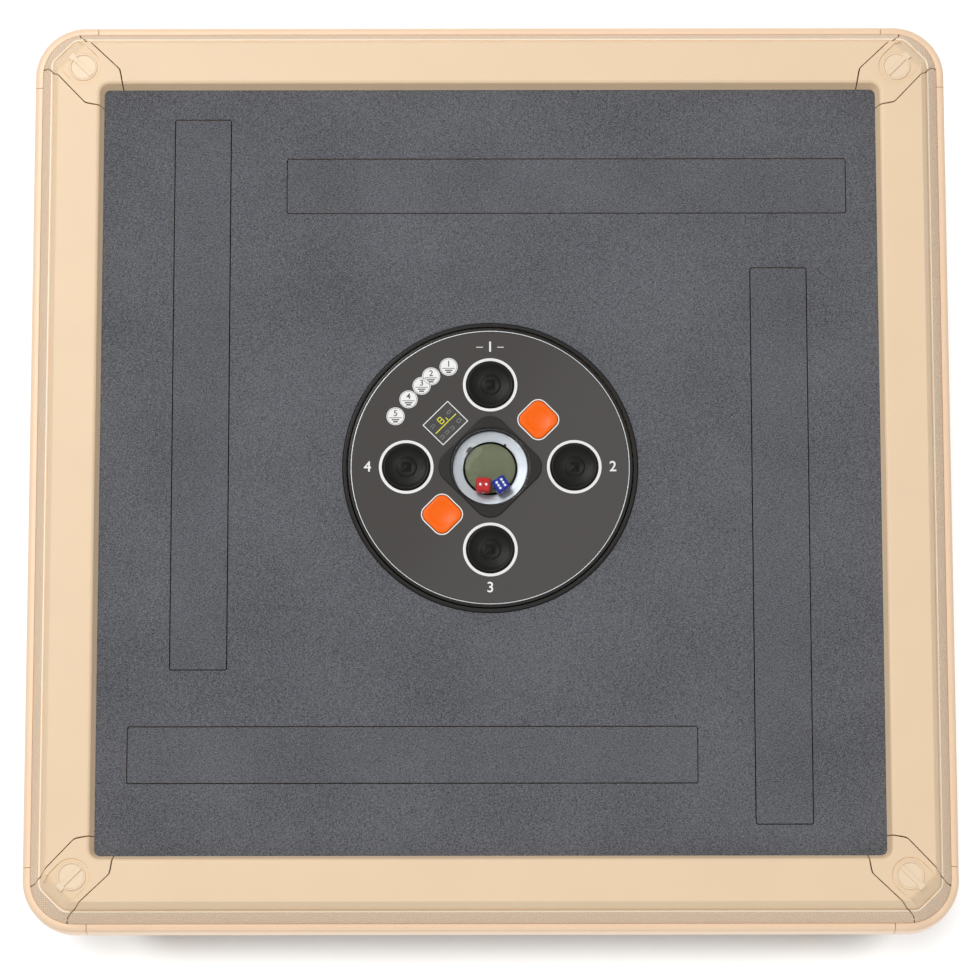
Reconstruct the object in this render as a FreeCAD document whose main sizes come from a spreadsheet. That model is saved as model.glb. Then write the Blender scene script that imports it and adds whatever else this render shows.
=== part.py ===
"""Automatic mahjong table: a four-sided game table that washes, stacks and lifts its tiles.

The origin is on the floor under the middle of the table. +Z is up, and the south side,
where player three sits, faces -Y. Every length is in millimetres.

Each side of the table is built once, as the south side, and turned about the Z axis.
"""
import FreeCAD, Part
import math
import os
import Sketcher

# Driving dimensions: one value for each size that can be set by itself
SIZES = {
    # Playing surface
    "felt_level": 750.0,
    "felt_half": 409.0,
    "felt_corner": 6.0,
    "felt_thick": 1.5,
    "felt_tuck": 2.5,
    "board_half": 448.0,
    "board_corner": 22.0,
    "board_thick": 9.0,
    # Moulded rim, measured outwards from the felt and up from its level
    "rim_rise": 14.0,
    "rim_wall": 3.5,
    "lip_run": 4.5,
    "lip_rise": 12.5,
    "lip_round": 2.0,
    "lip_width": 12.5,
    "rim_corner_inset": 46.0,
    "top_reach": 49.6,
    "bevel_run": 6.0,
    "bevel_drop": 18.6,
    "groove_run": 0.8,
    "groove_depth": 0.9,
    "band_step": 0.8,
    "band_lift": 1.9,
    "band_reach": 68.0,
    "band_drop": 17.9,
    "skirt_depth": 56.0,
    "seam_gap": 0.5,
    "seam_outer_place": 430.0,
    "seam_shoulder_place": 424.5,
    "seam_shoulder_depth": 460.0,
    "seam_knee_place": 391.5,
    "seam_knee_depth": 428.5,
    "seam_tail_place": 386.5,
    # Clip-on edge trim
    "trim_reach": 8.3,
    "trim_round": 3.0,
    "trim_shoulder": 6.0,
    "trim_joint_place": 418.0,
    "trim_joint_gap": 0.5,
    # Keyed corner bolt caps
    "cap_place": 431.5,
    "cap_radius": 15.0,
    "cap_disc_radius": 12.9,
    "cap_step": 0.8,
    "cap_bevel": 0.7,
    "cap_seat_depth": 2.0,
    "cap_gap": 0.4,
    "recess_radius": 18.5,
    "recess_reach": 40.0,
    "recess_depth": 0.5,
    "key_width": 5.0,
    "key_height": 0.6,
    "key_reach": 16.5,
    "key_tab_width": 8.0,
    "key_tab_length": 3.6,
    # Tile lifts
    "lift_offset": 81.0,
    "lift_line": 304.0,
    "lift_width": 58.0,
    "lift_length": 590.0,
    "lift_corner": 1.5,
    "lift_gap": 1.2,
    "deck_thick": 10.5,
    "deck_pocket_depth": 6.0,
    "deck_border": 7.0,
    "lift_travel": 56.0,
    "bracket_length": 330.0,
    "bracket_height": 20.0,
    "bracket_thick": 8.0,
    "bracket_hole": 10.0,
    "post_radius": 4.0,
    "post_length": 150.0,
    "post_spacing": 300.0,
    "running_fit": 0.06,
    # Rack and pinion drives
    "gear_module": 1.5,
    "gear_width": 9.0,
    "gear_backlash": 0.4,
    "gear_play": 0.3,
    "gear_hub_radius": 7.0,
    "gear_hub_length": 3.0,
    "rack_width": 8.0,
    "rack_back": 8.0,
    "shaft_radius": 3.0,
    "pinion_level": 617.0,
    # Lift guides and motors
    "guide_sheet": 4.0,
    "guide_setback": 26.0,
    "guide_span": 360.0,
    "guide_height": 170.0,
    "guide_block_width": 24.0,
    "guide_block_height": 20.0,
    "guide_block_level": 600.0,
    "guide_flange": 18.0,
    "motor_radius": 17.0,
    "motor_length": 42.0,
    "gearbox_side": 40.0,
    "gearbox_depth": 22.0,
    "shaft_offset": 5.0,
    "small_motor_radius": 10.0,
    "small_motor_length": 30.0,
    "small_gearbox_side": 15.0,
    "small_gearbox_rise": 20.0,
    "motor_sheet": 4.0,
    # Tile stores and pushers
    "store_length": 590.0,
    "store_inner": 217.0,
    "store_floor_thick": 4.0,
    "store_wall": 2.0,
    "store_end_gap": 0.6,
    "store_outer_gap": 1.5,
    "pusher_length": 560.0,
    "pusher_height": 42.0,
    "pusher_thick": 6.0,
    "pusher_gap": 0.3,
    "pusher_inset": 1.0,
    "pusher_notch": 18.0,
    # Mixing drum
    "drum_radius": 262.0,
    "drum_wall": 3.0,
    "drum_level": 600.0,
    "drum_band": 40.0,
    "drum_throat_drop": 50.0,
    "throat_radius": 157.0,
    "gate_width": 30.0,
    "gate_inner": 200.0,
    "turntable_radius": 250.0,
    "turntable_thick": 8.0,
    "turntable_cone_radius": 45.0,
    "turntable_cone_rise": 40.0,
    "turntable_cone_foot": 110.0,
    "turntable_bore": 40.0,
    "paddle_thick": 8.0,
    "paddle_start": 120.0,
    "paddle_end": 225.0,
    "paddle_height": 16.0,
    "drive_wheel_radius": 25.0,
    "drive_wheel_width": 12.0,
    "drive_wheel_place": 200.0,
    "drive_tread": 2.0,
    "rolling_gap": 0.3,
    "pickup_radius": 38.0,
    "pickup_width": 24.0,
    "pickup_place": 255.0,
    "pickup_level": 668.0,
    # Centre lift
    "column_side": 40.0,
    "column_foot": 490.0,
    "column_top": 712.0,
    "column_wall": 3.0,
    "column_travel": 70.0,
    "column_fit": 0.3,
    "guide_tube_side": 48.0,
    "guide_tube_top": 690.0,
    "collar_radius": 60.0,
    "collar_thick": 6.0,
    "centre_pinion_level": 566.0,
    "centre_rack_width": 10.0,
    "window_gap": 1.0,
    # Centre console
    "console_radius": 149.5,
    "console_lip_rise": 1.5,
    "console_side_drop": 8.0,
    "console_foot_radius": 70.0,
    "console_wall": 2.5,
    "panel_rise": 2.0,
    "panel_thick": 3.0,
    "panel_radius": 144.8,
    "panel_edge": 0.8,
    "panel_ledge": 8.0,
    "ring_inner": 145.0,
    "ring_outer": 147.3,
    "ring_rise": 0.5,
    "ring_gap": 0.2,
    "well_inner": 150.5,
    "well_outer": 155.0,
    "well_rise": 2.0,
    "well_round": 1.0,
    # Buttons and display
    "seat_button_place": 88.0,
    "seat_button_radius": 24.9,
    "seat_button_rise": 2.6,
    "seat_button_dish": 1.8,
    "seat_button_bevel": 1.5,
    "button_depth": 6.0,
    "button_gap": 0.5,
    "round_button_place": 50.5,
    "round_button_half": 17.0,
    "round_button_corner": 9.0,
    "round_button_rise": 1.6,
    "round_button_bevel": 0.8,
    "display_place": 47.0,
    "display_length": 37.0,
    "display_width": 30.4,
    "display_recess": 0.4,
    "display_flange": 3.0,
    "display_depth": 5.0,
    "close_gap": 0.2,
    # Dice dome
    "seat_half": 43.5,
    "seat_corner": 18.0,
    "seat_rise": 2.0,
    "seat_bore": 39.8,
    "seat_wall": 2.3,
    "seat_depth": 11.0,
    "seat_ledge": 1.5,
    "bowl_inner": 28.5,
    "bowl_outer": 39.5,
    "bowl_rise": 3.0,
    "bowl_edge": 0.6,
    "dome_radius": 42.0,
    "dome_rise": 10.2,
    "dome_wall": 1.5,
    "plate_radius": 26.3,
    "plate_top_drop": 5.2,
    "plate_thick": 2.0,
    "spindle_radius": 4.0,
    "spindle_boss": 9.0,
    "spindle_boss_height": 20.0,
    "spindle_foot_gap": 1.5,
    "die_side": 15.0,
    "die_bevel": 1.2,
    "die_one_across": -7.3,
    "die_one_along": -20.1,
    "die_two_across": 11.1,
    "die_two_along": -19.5,
    # Base cabinet, legs and feet
    "cabinet_depth": 273.0,
    "cabinet_half": 415.0,
    "sheet": 3.0,
    "panel_flange": 14.0,
    "pan_sheet": 2.0,
    "pan_gap": 0.4,
    "vent_pitch": 14.0,
    "vent_width": 5.0,
    "vent_height": 46.0,
    "vent_level": 530.0,
    "leg_outer": 425.0,
    "leg_side": 60.0,
    "leg_foot_side": 38.0,
    "leg_edge": 5.0,
    "leg_break": 480.0,
    "foot_radius": 17.0,
    "foot_height": 8.0,
    "foot_bevel": 2.0,
    # Electrics
    "card_length": 150.0,
    "card_width": 55.0,
    "card_thick": 1.6,
    "card_standoff": 6.0,
    "card_place": 235.0,
    "card_setback": 372.0,
    "card_part_height": 18.0,
    "inlet_place": 250.0,
    "inlet_width": 32.0,
    "inlet_height": 26.0,
    "inlet_depth": 24.0,
    "inlet_level": 540.0,
    "inlet_wall": 3.0,
    "inlet_flange": 4.0,
    # One overrun for every cut that runs out of a piece
    "overrun": 5.0,
}

PINION_TEETH = 16
LIFT_GAPS_BELOW = 4
VENT_SLOTS = 10
WHEEL_FLATS = 12
QUARTERS = 4
SIDES = ("south", "east", "north", "west")
DICE_TURN = 33.0

DOC = FreeCAD.newDocument("MahjongTable")
SHEET = DOC.addObject("Spreadsheet::Sheet", "Sizes")
NODES = []


class Size:
    """A length of the table: its formula in the sheet's names, and its present value."""

    def __init__(self, formula, value):
        self.formula = formula
        self.value = value

    def __add__(self, other):
        other = as_size(other)
        return Size(f"({self.formula} + {other.formula})", self.value + other.value)

    def __radd__(self, other):
        return as_size(other) + self

    def __sub__(self, other):
        other = as_size(other)
        return Size(f"({self.formula} - {other.formula})", self.value - other.value)

    def __rsub__(self, other):
        return as_size(other) - self

    def __mul__(self, share):
        return Size(f"({self.formula} * {share})", self.value * share)

    __rmul__ = __mul__

    def __truediv__(self, share):
        return Size(f"({self.formula} / {share})", self.value / share)

    def __neg__(self):
        return Size(f"(0 - {self.formula})", -self.value)


def as_size(thing):
    """Gives a plain zero the same form as a named size."""
    return thing if isinstance(thing, Size) else Size(str(thing), float(thing))


def fill_sheet():
    """Writes every driving dimension to a row of the sheet, under its own name."""
    named = {}
    for row, (name, value) in enumerate(SIZES.items(), start=1):
        SHEET.set(f"A{row}", name.replace("_", " "))
        SHEET.set(f"B{row}", str(value))
        SHEET.setAlias(f"B{row}", name)
        named[name] = Size(f"Sizes.{name}", value)
    DOC.recompute()
    return named


class Names:
    """Gives the named sizes as plain attributes."""

    def __init__(self, named):
        self.__dict__.update(named)


S = Names(fill_sheet())
ZERO = as_size(0)


# Small helpers that bind a piece to the sheet

def bind(thing, name, size):
    thing.setExpression(name, as_size(size).formula)


def place(thing, x=ZERO, y=ZERO, z=ZERO, turn=0.0, axis=(0, 0, 1)):
    """Puts a piece at named sizes, turned about one axis through that place."""
    base = FreeCAD.Vector(as_size(x).value, as_size(y).value, as_size(z).value)
    thing.Placement = FreeCAD.Placement(base, FreeCAD.Rotation(FreeCAD.Vector(*axis), turn))
    for letter, size in (("x", x), ("y", y), ("z", z)):
        if as_size(size).formula != "0":
            bind(thing, "Placement.Base." + letter, size)
    return thing


def quarter_turned(thing, quarter):
    """Turns a piece made as the south one about the middle of the table."""
    turn = FreeCAD.Rotation(FreeCAD.Vector(0, 0, 1), 90.0 * quarter)
    thing.Placement = FreeCAD.Placement(FreeCAD.Vector(), turn)
    return thing


def node(name, thing):
    """Gives a finished sub-part its name and adds it to the list of nodes."""
    thing.Label = name
    NODES.append((name, thing))
    return thing


def box(x, y, z):
    """A block between two places along each axis."""
    block = DOC.addObject("Part::Box", "Block")
    for side, (low, high) in (("Length", x), ("Width", y), ("Height", z)):
        bind(block, side, as_size(high) - low)
    return place(block, x[0], y[0], z[0])


def rod(radius, length, x=ZERO, y=ZERO, z=ZERO, axis="z"):
    """A round bar that starts at a place and runs along one axis."""
    bar = DOC.addObject("Part::Cylinder", "Rod")
    bind(bar, "Radius", radius)
    bind(bar, "Height", length)
    turns = {"z": (0.0, (0, 0, 1)), "x": (90.0, (0, 1, 0)), "y": (-90.0, (1, 0, 0))}
    turn, about = turns[axis]
    return place(bar, x, y, z, turn, about)


def cut(base, *tools):
    """One piece less the others."""
    result = DOC.addObject("Part::Cut", "Cut")
    result.Base = base
    result.Tool = tools[0] if len(tools) == 1 else fuse(*tools)
    return result


def fuse(*pieces):
    result = DOC.addObject("Part::MultiFuse", "Fuse")
    result.Shapes = list(pieces)
    return result


def common(one, other):
    result = DOC.addObject("Part::MultiCommon", "Common")
    result.Shapes = [one, other]
    return result


def group(*pieces):
    """Separate solids that share one node."""
    result = DOC.addObject("Part::Compound", "Group")
    result.Links = list(pieces)
    return result


# Sketches and the features that use them

class Arc:
    """An outline point that is followed by an arc; turn is 1 for a left turn, -1 for a right."""

    def __init__(self, x, y, radius, turn=1):
        self.x = as_size(x)
        self.y = as_size(y)
        self.radius = as_size(radius)
        self.turn = turn


def new_body():
    return DOC.addObject("PartDesign::Body", "Body")


def origin_feature(body, role):
    return [item for item in body.Origin.OriginFeatures if item.Role == role][0]


def attach(body, plane, lift):
    drawing = body.newObject("Sketcher::SketchObject", "Outline")
    drawing.AttachmentSupport = [(origin_feature(body, plane + "_Plane"), "")]
    drawing.MapMode = "FlatFace"
    if as_size(lift).formula != "0":
        bind(drawing, "AttachmentOffset.Base.z", lift)
    return drawing


def arc_between(start, end, radius, turn):
    """The arc of under a half circle from start to end that turns the given way."""
    middle = (start + end) / 2
    half = (end - start) / 2
    rise = math.sqrt(max(radius ** 2 - half.Length ** 2, 0.0))
    side = FreeCAD.Vector(-half.y, half.x, 0)
    side.normalize()
    centre = middle + side * (rise * turn)
    bulge = middle - centre
    if bulge.Length == 0:
        bulge = -side * turn
    bulge.normalize()
    return Part.Arc(start, centre + bulge * radius, end)


def locate(drawing, index, point, x, y):
    """Holds one end of an edge at named sizes from the sketch's origin."""
    across = drawing.addConstraint(
        Sketcher.Constraint("DistanceX", -1, 1, index, point, as_size(x).value))
    bind(drawing, f"Constraints[{across}]", x)
    along = drawing.addConstraint(
        Sketcher.Constraint("DistanceY", -1, 1, index, point, as_size(y).value))
    bind(drawing, f"Constraints[{along}]", y)


def outline(body, plane, points, lift=ZERO):
    """A closed sketch through points given in named sizes, with arcs where a point asks."""
    drawing = attach(body, plane, lift)
    corners = [point if isinstance(point, Arc) else Arc(*point, ZERO) for point in points]
    places = [FreeCAD.Vector(corner.x.value, corner.y.value, 0) for corner in corners]
    count = len(corners)
    for index, corner in enumerate(corners):
        start, end = places[index], places[(index + 1) % count]
        if corner.radius.value:
            ideal = arc_between(start, end, corner.radius.value, corner.turn)
            drawing.addGeometry(ideal, False)
        else:
            drawing.addGeometry(Part.LineSegment(start, end), False)
    for index, corner in enumerate(corners):
        after = (index + 1) % count
        turns_right = corner.radius.value and corner.turn < 0
        end_point = 1 if turns_right else 2
        next_start = 2 if corners[after].radius.value and corners[after].turn < 0 else 1
        drawing.addConstraint(
            Sketcher.Constraint("Coincident", index, end_point, after, next_start))
        start_point = 2 if turns_right else 1
        locate(drawing, index, start_point, corner.x, corner.y)
        if corner.radius.value:
            radius = drawing.addConstraint(
                Sketcher.Constraint("Radius", index, corner.radius.value))
            bind(drawing, f"Constraints[{radius}]", corner.radius)
    return drawing


def ring_outline(body, plane, circles, lift=ZERO):
    """A sketch of full circles, each given by its middle and its radius."""
    drawing = attach(body, plane, lift)
    up = FreeCAD.Vector(0, 0, 1)
    for index, (x, y, radius) in enumerate(circles):
        x, y = as_size(x), as_size(y)
        middle = FreeCAD.Vector(x.value, y.value, 0)
        drawing.addGeometry(Part.Circle(middle, up, radius.value), False)
        size = drawing.addConstraint(Sketcher.Constraint("Radius", index, radius.value))
        bind(drawing, f"Constraints[{size}]", radius)
        if x.formula == "0" and y.formula == "0":
            drawing.addConstraint(Sketcher.Constraint("Coincident", index, 3, -1, 1))
        else:
            locate(drawing, index, 3, x, y)
    return drawing


def add_feature(body, kind, drawing):
    feature = body.newObject("PartDesign::" + kind, kind)
    feature.Profile = drawing
    drawing.Visibility = False
    return feature


def pad(body, drawing, length, downwards=False, centred=False):
    feature = add_feature(body, "Pad", drawing)
    bind(feature, "Length", length)
    feature.Reversed = downwards
    if centred:
        feature.SideType = "Symmetric"
    return feature


def pocket(body, drawing, depth, upwards=False, centred=False):
    """Cuts a sketch into the body and makes sure that the cut takes material away."""
    DOC.recompute()
    before = body.Shape.Volume
    feature = add_feature(body, "Pocket", drawing)
    bind(feature, "Length", depth)
    feature.Reversed = upwards
    if centred:
        feature.SideType = "Symmetric"
    DOC.recompute()
    if not body.Shape.Volume < before:
        raise ValueError("a pocket of " + body.Label + " cuts nothing")
    return feature


def revolve(body, drawing):
    feature = add_feature(body, "Revolution", drawing)
    feature.ReferenceAxis = (drawing, ["V_Axis"])
    feature.Angle = 360.0
    return feature


def polar_pattern(body, features, count, axis="Z"):
    pattern = body.newObject("PartDesign::PolarPattern", "PolarPattern")
    pattern.Originals = features
    pattern.Axis = (origin_feature(body, axis + "_Axis"), [""])
    pattern.Angle = 360.0
    pattern.Occurrences = count
    body.Tip = pattern
    return pattern


def linear_pattern(body, features, length, count, axis):
    pattern = body.newObject("PartDesign::LinearPattern", "LinearPattern")
    pattern.Originals = features
    pattern.Direction = (origin_feature(body, axis + "_Axis"), [""])
    bind(pattern, "Length", length)
    pattern.Occurrences = count
    body.Tip = pattern
    return pattern


def revolved(points):
    """A turned piece from a closed outline of radius and height."""
    body = new_body()
    revolve(body, outline(body, "XZ", points))
    return body


def rounded_square(half, radius, half_other=None):
    """The outline of a square or rectangle with round corners about the origin."""
    other = half if half_other is None else half_other
    near, far = half - radius, other - radius
    return [
        Arc(near, -other, radius), (half, -far),
        Arc(half, far, radius), (near, other),
        Arc(-near, other, radius), (-half, far),
        Arc(-half, -far, radius), (-near, -other),
    ]


def shifted(points, x, y):
    """The same outline, moved over by x and y."""
    return [Arc(point.x + x, point.y + y, point.radius, point.turn) if isinstance(point, Arc)
            else (point[0] + x, point[1] + y) for point in points]


def rounded_block(half, radius, low, high, half_other=None):
    """An upright block with round corners, padded between two heights."""
    body = new_body()
    pad(body, outline(body, "XY", rounded_square(half, radius, half_other), low), high - low)
    return body


# Levels and lines that several sub-parts share

RIM_TOP = S.felt_level + S.rim_rise
BOARD_TOP = S.felt_level - S.felt_thick
BOARD_LOW = BOARD_TOP - S.board_thick
CORNER_CENTRE = S.felt_half + S.band_reach - S.rim_corner_inset
BAND_HALF = S.felt_half + S.band_reach
DECK_LOW = S.felt_level - S.deck_thick
STORE_FLOOR = S.felt_level - S.lift_travel
PAN_TOP = BOARD_LOW - S.cabinet_depth + S.panel_flange + S.pan_sheet
PANEL_FOOT = BOARD_LOW - S.cabinet_depth
PITCH_RADIUS = S.gear_module * (PINION_TEETH / 2)
TOOTH_PITCH = S.gear_module * math.pi
TIP_RISE = S.gear_module
ROOT_DROP = S.gear_module * 1.25
CONSOLE_TOP = S.felt_level + S.panel_rise
PANEL_LOW = CONSOLE_TOP - S.panel_thick


# Playing surface

def slot_outline(clearance):
    """The opening over the south lift, in the plane of the board."""
    half_length = S.lift_length / 2 + clearance
    half_width = S.lift_width / 2 + clearance
    radius = S.lift_corner + clearance
    left, right = -S.lift_offset - half_length, -S.lift_offset + half_length
    low, high = -S.lift_line - half_width, -S.lift_line + half_width
    return [
        Arc(right - radius, low, radius), (right, low + radius),
        Arc(right, high - radius, radius), (right - radius, high),
        Arc(left + radius, high, radius), (left, high - radius),
        Arc(left, low + radius, radius), (left + radius, low),
    ]


def playing_sheet(half, corner, low, thick, well_radius):
    """A square sheet with a round well and four lift slots laid out as a pinwheel."""
    body = new_body()
    pad(body, outline(body, "XY", rounded_square(half, corner), low), thick)
    well = ring_outline(body, "XY", [(ZERO, ZERO, well_radius)], low + thick)
    pocket(body, well, thick + S.overrun)
    slot = outline(body, "XY", slot_outline(S.lift_gap), low + thick)
    first = pocket(body, slot, thick + S.overrun)
    polar_pattern(body, [first], QUARTERS)
    return body


def playing_surface():
    node("playfield_board",
         playing_sheet(S.board_half, S.board_corner, BOARD_LOW, S.board_thick, S.well_inner))
    node("playfield_felt",
         playing_sheet(S.felt_half + S.felt_tuck, S.felt_corner + S.felt_tuck, BOARD_TOP,
                       S.felt_thick, S.well_outer))
    top = S.felt_level + S.well_rise
    node("well_ring", revolved([
        (S.well_inner, BOARD_TOP), (S.well_outer, BOARD_TOP),
        (S.well_outer, top - S.well_round), (S.well_outer - S.well_round, top),
        (S.well_inner, top)]))


# Moulded rim

def square_path(body, half, radius):
    """A rounded square that starts in the middle of its right side, to sweep along."""
    near = half - radius
    points = [
        (half, ZERO),
        Arc(half, near, radius), (near, half),
        Arc(-near, half, radius), (-half, near),
        Arc(-half, -near, radius), (-near, -half),
        Arc(near, -half, radius), (half, -near),
    ]
    return outline(body, "XY", points, S.felt_level)


def sweep_square(body, section_points, half, radius):
    """Sweeps a section round the table."""
    section = outline(body, "XZ", section_points)
    path = square_path(body, half, radius)
    feature = body.newObject("PartDesign::AdditivePipe", "Moulding")
    feature.Profile = section
    feature.Spine = (path, [f"Edge{edge + 1}" for edge in range(path.GeometryCount)])
    return feature


def lip_section():
    """The sloped inner lip that holds the edge of the felt down."""
    felt = S.felt_level
    edge = S.felt_half
    slope_top = edge + S.lip_run
    tuck = edge + S.felt_tuck
    outer = edge + S.lip_width
    return [
        (edge, felt), (slope_top, felt + S.lip_rise),
        (slope_top + S.lip_round, RIM_TOP), (outer, RIM_TOP),
        (outer, BOARD_TOP), (tuck, BOARD_TOP), (tuck, felt),
    ]


def band_section():
    """The outer part of the rim: flat top, bevel, groove, knurled band and skirt."""
    edge = S.felt_half
    bevel = edge + S.top_reach
    bevel_low = RIM_TOP - S.bevel_drop
    groove = bevel + S.bevel_run + S.groove_run
    groove_low = bevel_low - S.groove_depth
    band = groove + S.band_step
    band_top = groove_low + S.band_lift
    skirt = S.felt_level - S.skirt_depth
    inner = BAND_HALF - S.rim_wall
    return [
        (CORNER_CENTRE + S.lip_width, RIM_TOP), (bevel, RIM_TOP),
        (bevel + S.bevel_run, bevel_low), (groove, groove_low),
        (band, band_top), (BAND_HALF, band_top - S.band_drop),
        (BAND_HALF, skirt), (inner, skirt), (inner, band_top - S.band_drop),
        (groove - S.rim_wall, groove_low - S.rim_wall),
        (bevel - S.rim_wall, RIM_TOP - S.rim_wall),
        (CORNER_CENTRE + S.lip_width, RIM_TOP - S.rim_wall),
    ]


def rim_moulding():
    """The whole rim as one ring, before its seams part it."""
    body = new_body()
    plate_half = CORNER_CENTRE + S.lip_width + S.rim_wall
    plate_radius = S.lip_width + S.rim_wall
    plate = rounded_square(plate_half, plate_radius)
    pad(body, outline(body, "XY", plate, RIM_TOP - S.rim_wall), S.rim_wall)
    hole_half = S.felt_half + S.lip_width - S.lip_round
    hole_radius = S.felt_corner + S.lip_width - S.lip_round
    pocket(body, outline(body, "XY", rounded_square(hole_half, hole_radius), RIM_TOP), S.rim_wall)
    sweep_square(body, lip_section(), S.felt_half, S.felt_corner)
    sweep_square(body, band_section(), CORNER_CENTRE + S.lip_width, S.lip_width)
    return body


def upright(points, low, high):
    """An upright block with a free outline."""
    body = new_body()
    pad(body, outline(body, "XY", points, low), high - low)
    return body


def seam_points(gap):
    """The seam at the right end of the south rail, from the outer edge in to the felt."""
    outer = S.felt_half + S.band_reach + S.overrun * 2
    inner = S.felt_half - S.overrun * 2
    return [
        (S.seam_outer_place + gap, outer),
        (S.seam_shoulder_place + gap, S.seam_shoulder_depth),
        (S.seam_knee_place + gap, S.seam_knee_depth),
        (S.seam_tail_place + gap, inner),
    ]


RIM_ZONE = (S.felt_level - S.skirt_depth - S.overrun, RIM_TOP + S.overrun)


def rail(rim):
    """One straight side of the rim, between its two corner seams."""
    right = [(along, -deep) for along, deep in seam_points(ZERO)]
    left = [(-along, -deep) for along, deep in reversed(seam_points(ZERO))]
    return common(rim, upright(right + left, *RIM_ZONE))


def cap_tool(radius, side, reach, low):
    """The round and keyed shape of a corner cap, out from the table along its diagonal."""
    disc = rod(radius, RIM_TOP + S.overrun - low, z=low)
    key = box((ZERO, reach), (-side, side), (low, RIM_TOP + S.overrun))
    return place(fuse(disc, key), S.cap_place, -S.cap_place, turn=-45.0)


def frame_corner(rim):
    """A corner of the rim with a post under it and a recessed seat for its bolt cap."""
    outer = BAND_HALF + S.overrun * 2
    seam = seam_points(S.seam_gap)
    south = [(along, -deep) for along, deep in seam]
    east = [(deep, -along) for along, deep in reversed(seam)]
    corner = common(rim, upright(south + east + [(outer, -outer)], *RIM_ZONE))
    post = rod(S.cap_disc_radius, RIM_TOP - BOARD_TOP, S.cap_place, -S.cap_place, BOARD_TOP)
    side = S.key_tab_width / 2 + S.cap_gap
    reach = S.key_reach + S.cap_gap
    seat = cap_tool(S.cap_radius + S.cap_gap, side, reach, RIM_TOP - S.cap_seat_depth)
    recess = cap_tool(S.recess_radius, S.recess_radius, S.recess_reach,
                      RIM_TOP - S.recess_depth)
    return cut(fuse(corner, post), seat, recess)


def bolt_cap():
    """A round cap with a raised bar that ends in a key tab."""
    low = RIM_TOP - S.cap_seat_depth
    step = RIM_TOP - S.cap_step
    disc = revolved([
        (ZERO, low), (S.cap_radius, low), (S.cap_radius, step),
        (S.cap_disc_radius + S.cap_bevel, step), (S.cap_disc_radius, RIM_TOP), (ZERO, RIM_TOP)])
    top = RIM_TOP + S.key_height
    half = S.key_width / 2
    bar = box((-S.cap_disc_radius, S.key_reach), (-half, half), (low, top))
    tab_half = S.key_tab_width / 2
    tab_start = S.key_reach - S.key_tab_length
    tab = box((tab_start, S.key_reach), (-tab_half, tab_half), (low, top))
    return place(fuse(disc, bar, tab), S.cap_place, -S.cap_place, turn=-45.0)


def edge_trim():
    """The rounded strip clipped round the outer face, parted into sides and corners."""
    body = new_body()
    low = S.felt_level - S.skirt_depth
    groove_low = RIM_TOP - S.bevel_drop - S.groove_depth
    high = groove_low + S.band_lift - S.band_drop
    outer = BAND_HALF + S.trim_reach
    section = [
        (BAND_HALF, low), Arc(outer - S.trim_round, low, S.trim_round),
        (outer, low + S.trim_round), Arc(outer, high - S.trim_shoulder, S.trim_shoulder),
        (outer - S.trim_shoulder, high), (BAND_HALF, high)]
    sweep_square(body, section, BAND_HALF, S.rim_corner_inset)
    joints = []
    across = (-outer - S.overrun, -BAND_HALF + S.overrun)
    for quarter in range(QUARTERS):
        start = S.trim_joint_place
        end = start + S.trim_joint_gap
        tall = (low - S.overrun, high + S.overrun)
        pair = group(box((start, end), across, tall), box((-end, -start), across, tall))
        joints.append(quarter_turned(pair, quarter))
    return cut(body, *joints)


def four(builder, *inputs):
    """Four like pieces, one for each quarter of the table, in one node."""
    return group(*[quarter_turned(group(builder(*inputs)), quarter)
                   for quarter in range(QUARTERS)])


def moulded_rim():
    rim = rim_moulding()
    for quarter, side in enumerate(SIDES):
        node("rail_" + side, quarter_turned(rail(rim), quarter))
    node("frame_corners", four(frame_corner, rim))
    node("corner_bolt_caps", four(bolt_cap))
    node("edge_trim", edge_trim())


# Racks and pinions

HALF_GAP = TOOTH_PITCH / 4 + S.gear_backlash / 4
FLANK_SHARE = 0.364
TIP_FLANK_SHARE = 0.6
ROOT_FLANK_SHARE = 0.25


def pitches(length):
    """How many whole tooth pitches fit in a length."""
    return int(round(length.value / TOOTH_PITCH.value, 3))


def rack(line, depth, width, back, low, high, level, cut_to):
    """An upright rack with its teeth towards +X.

    Its pitch line is at line, and it is centred at depth on the -Y side. A tooth stands at
    the pinion's level. The gaps go on down to the foot, and up as far as cut_to.
    """
    body = new_body()
    gaps_below = pitches(level - low)
    count = gaps_below + pitches(cut_to - level)
    root = line - ROOT_DROP
    tip = line + TIP_RISE
    bar = [(root - back, low), (tip, low), (tip, high), (root - back, high)]
    pad(body, outline(body, "XZ", bar, depth), width, centred=True)
    first = level - TOOTH_PITCH * (gaps_below - 0.5)
    root_half = HALF_GAP - ROOT_DROP * FLANK_SHARE
    far = tip + TIP_RISE
    far_half = HALF_GAP + TIP_RISE * 2 * FLANK_SHARE
    gap = [(root, first - root_half), (far, first - far_half),
           (far, first + far_half), (root, first + root_half)]
    tooth_gap = pocket(body, outline(body, "XZ", gap, depth), width + S.overrun, centred=True)
    linear_pattern(body, [tooth_gap], TOOTH_PITCH * (count - 1), count, "Z")
    return body


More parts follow.
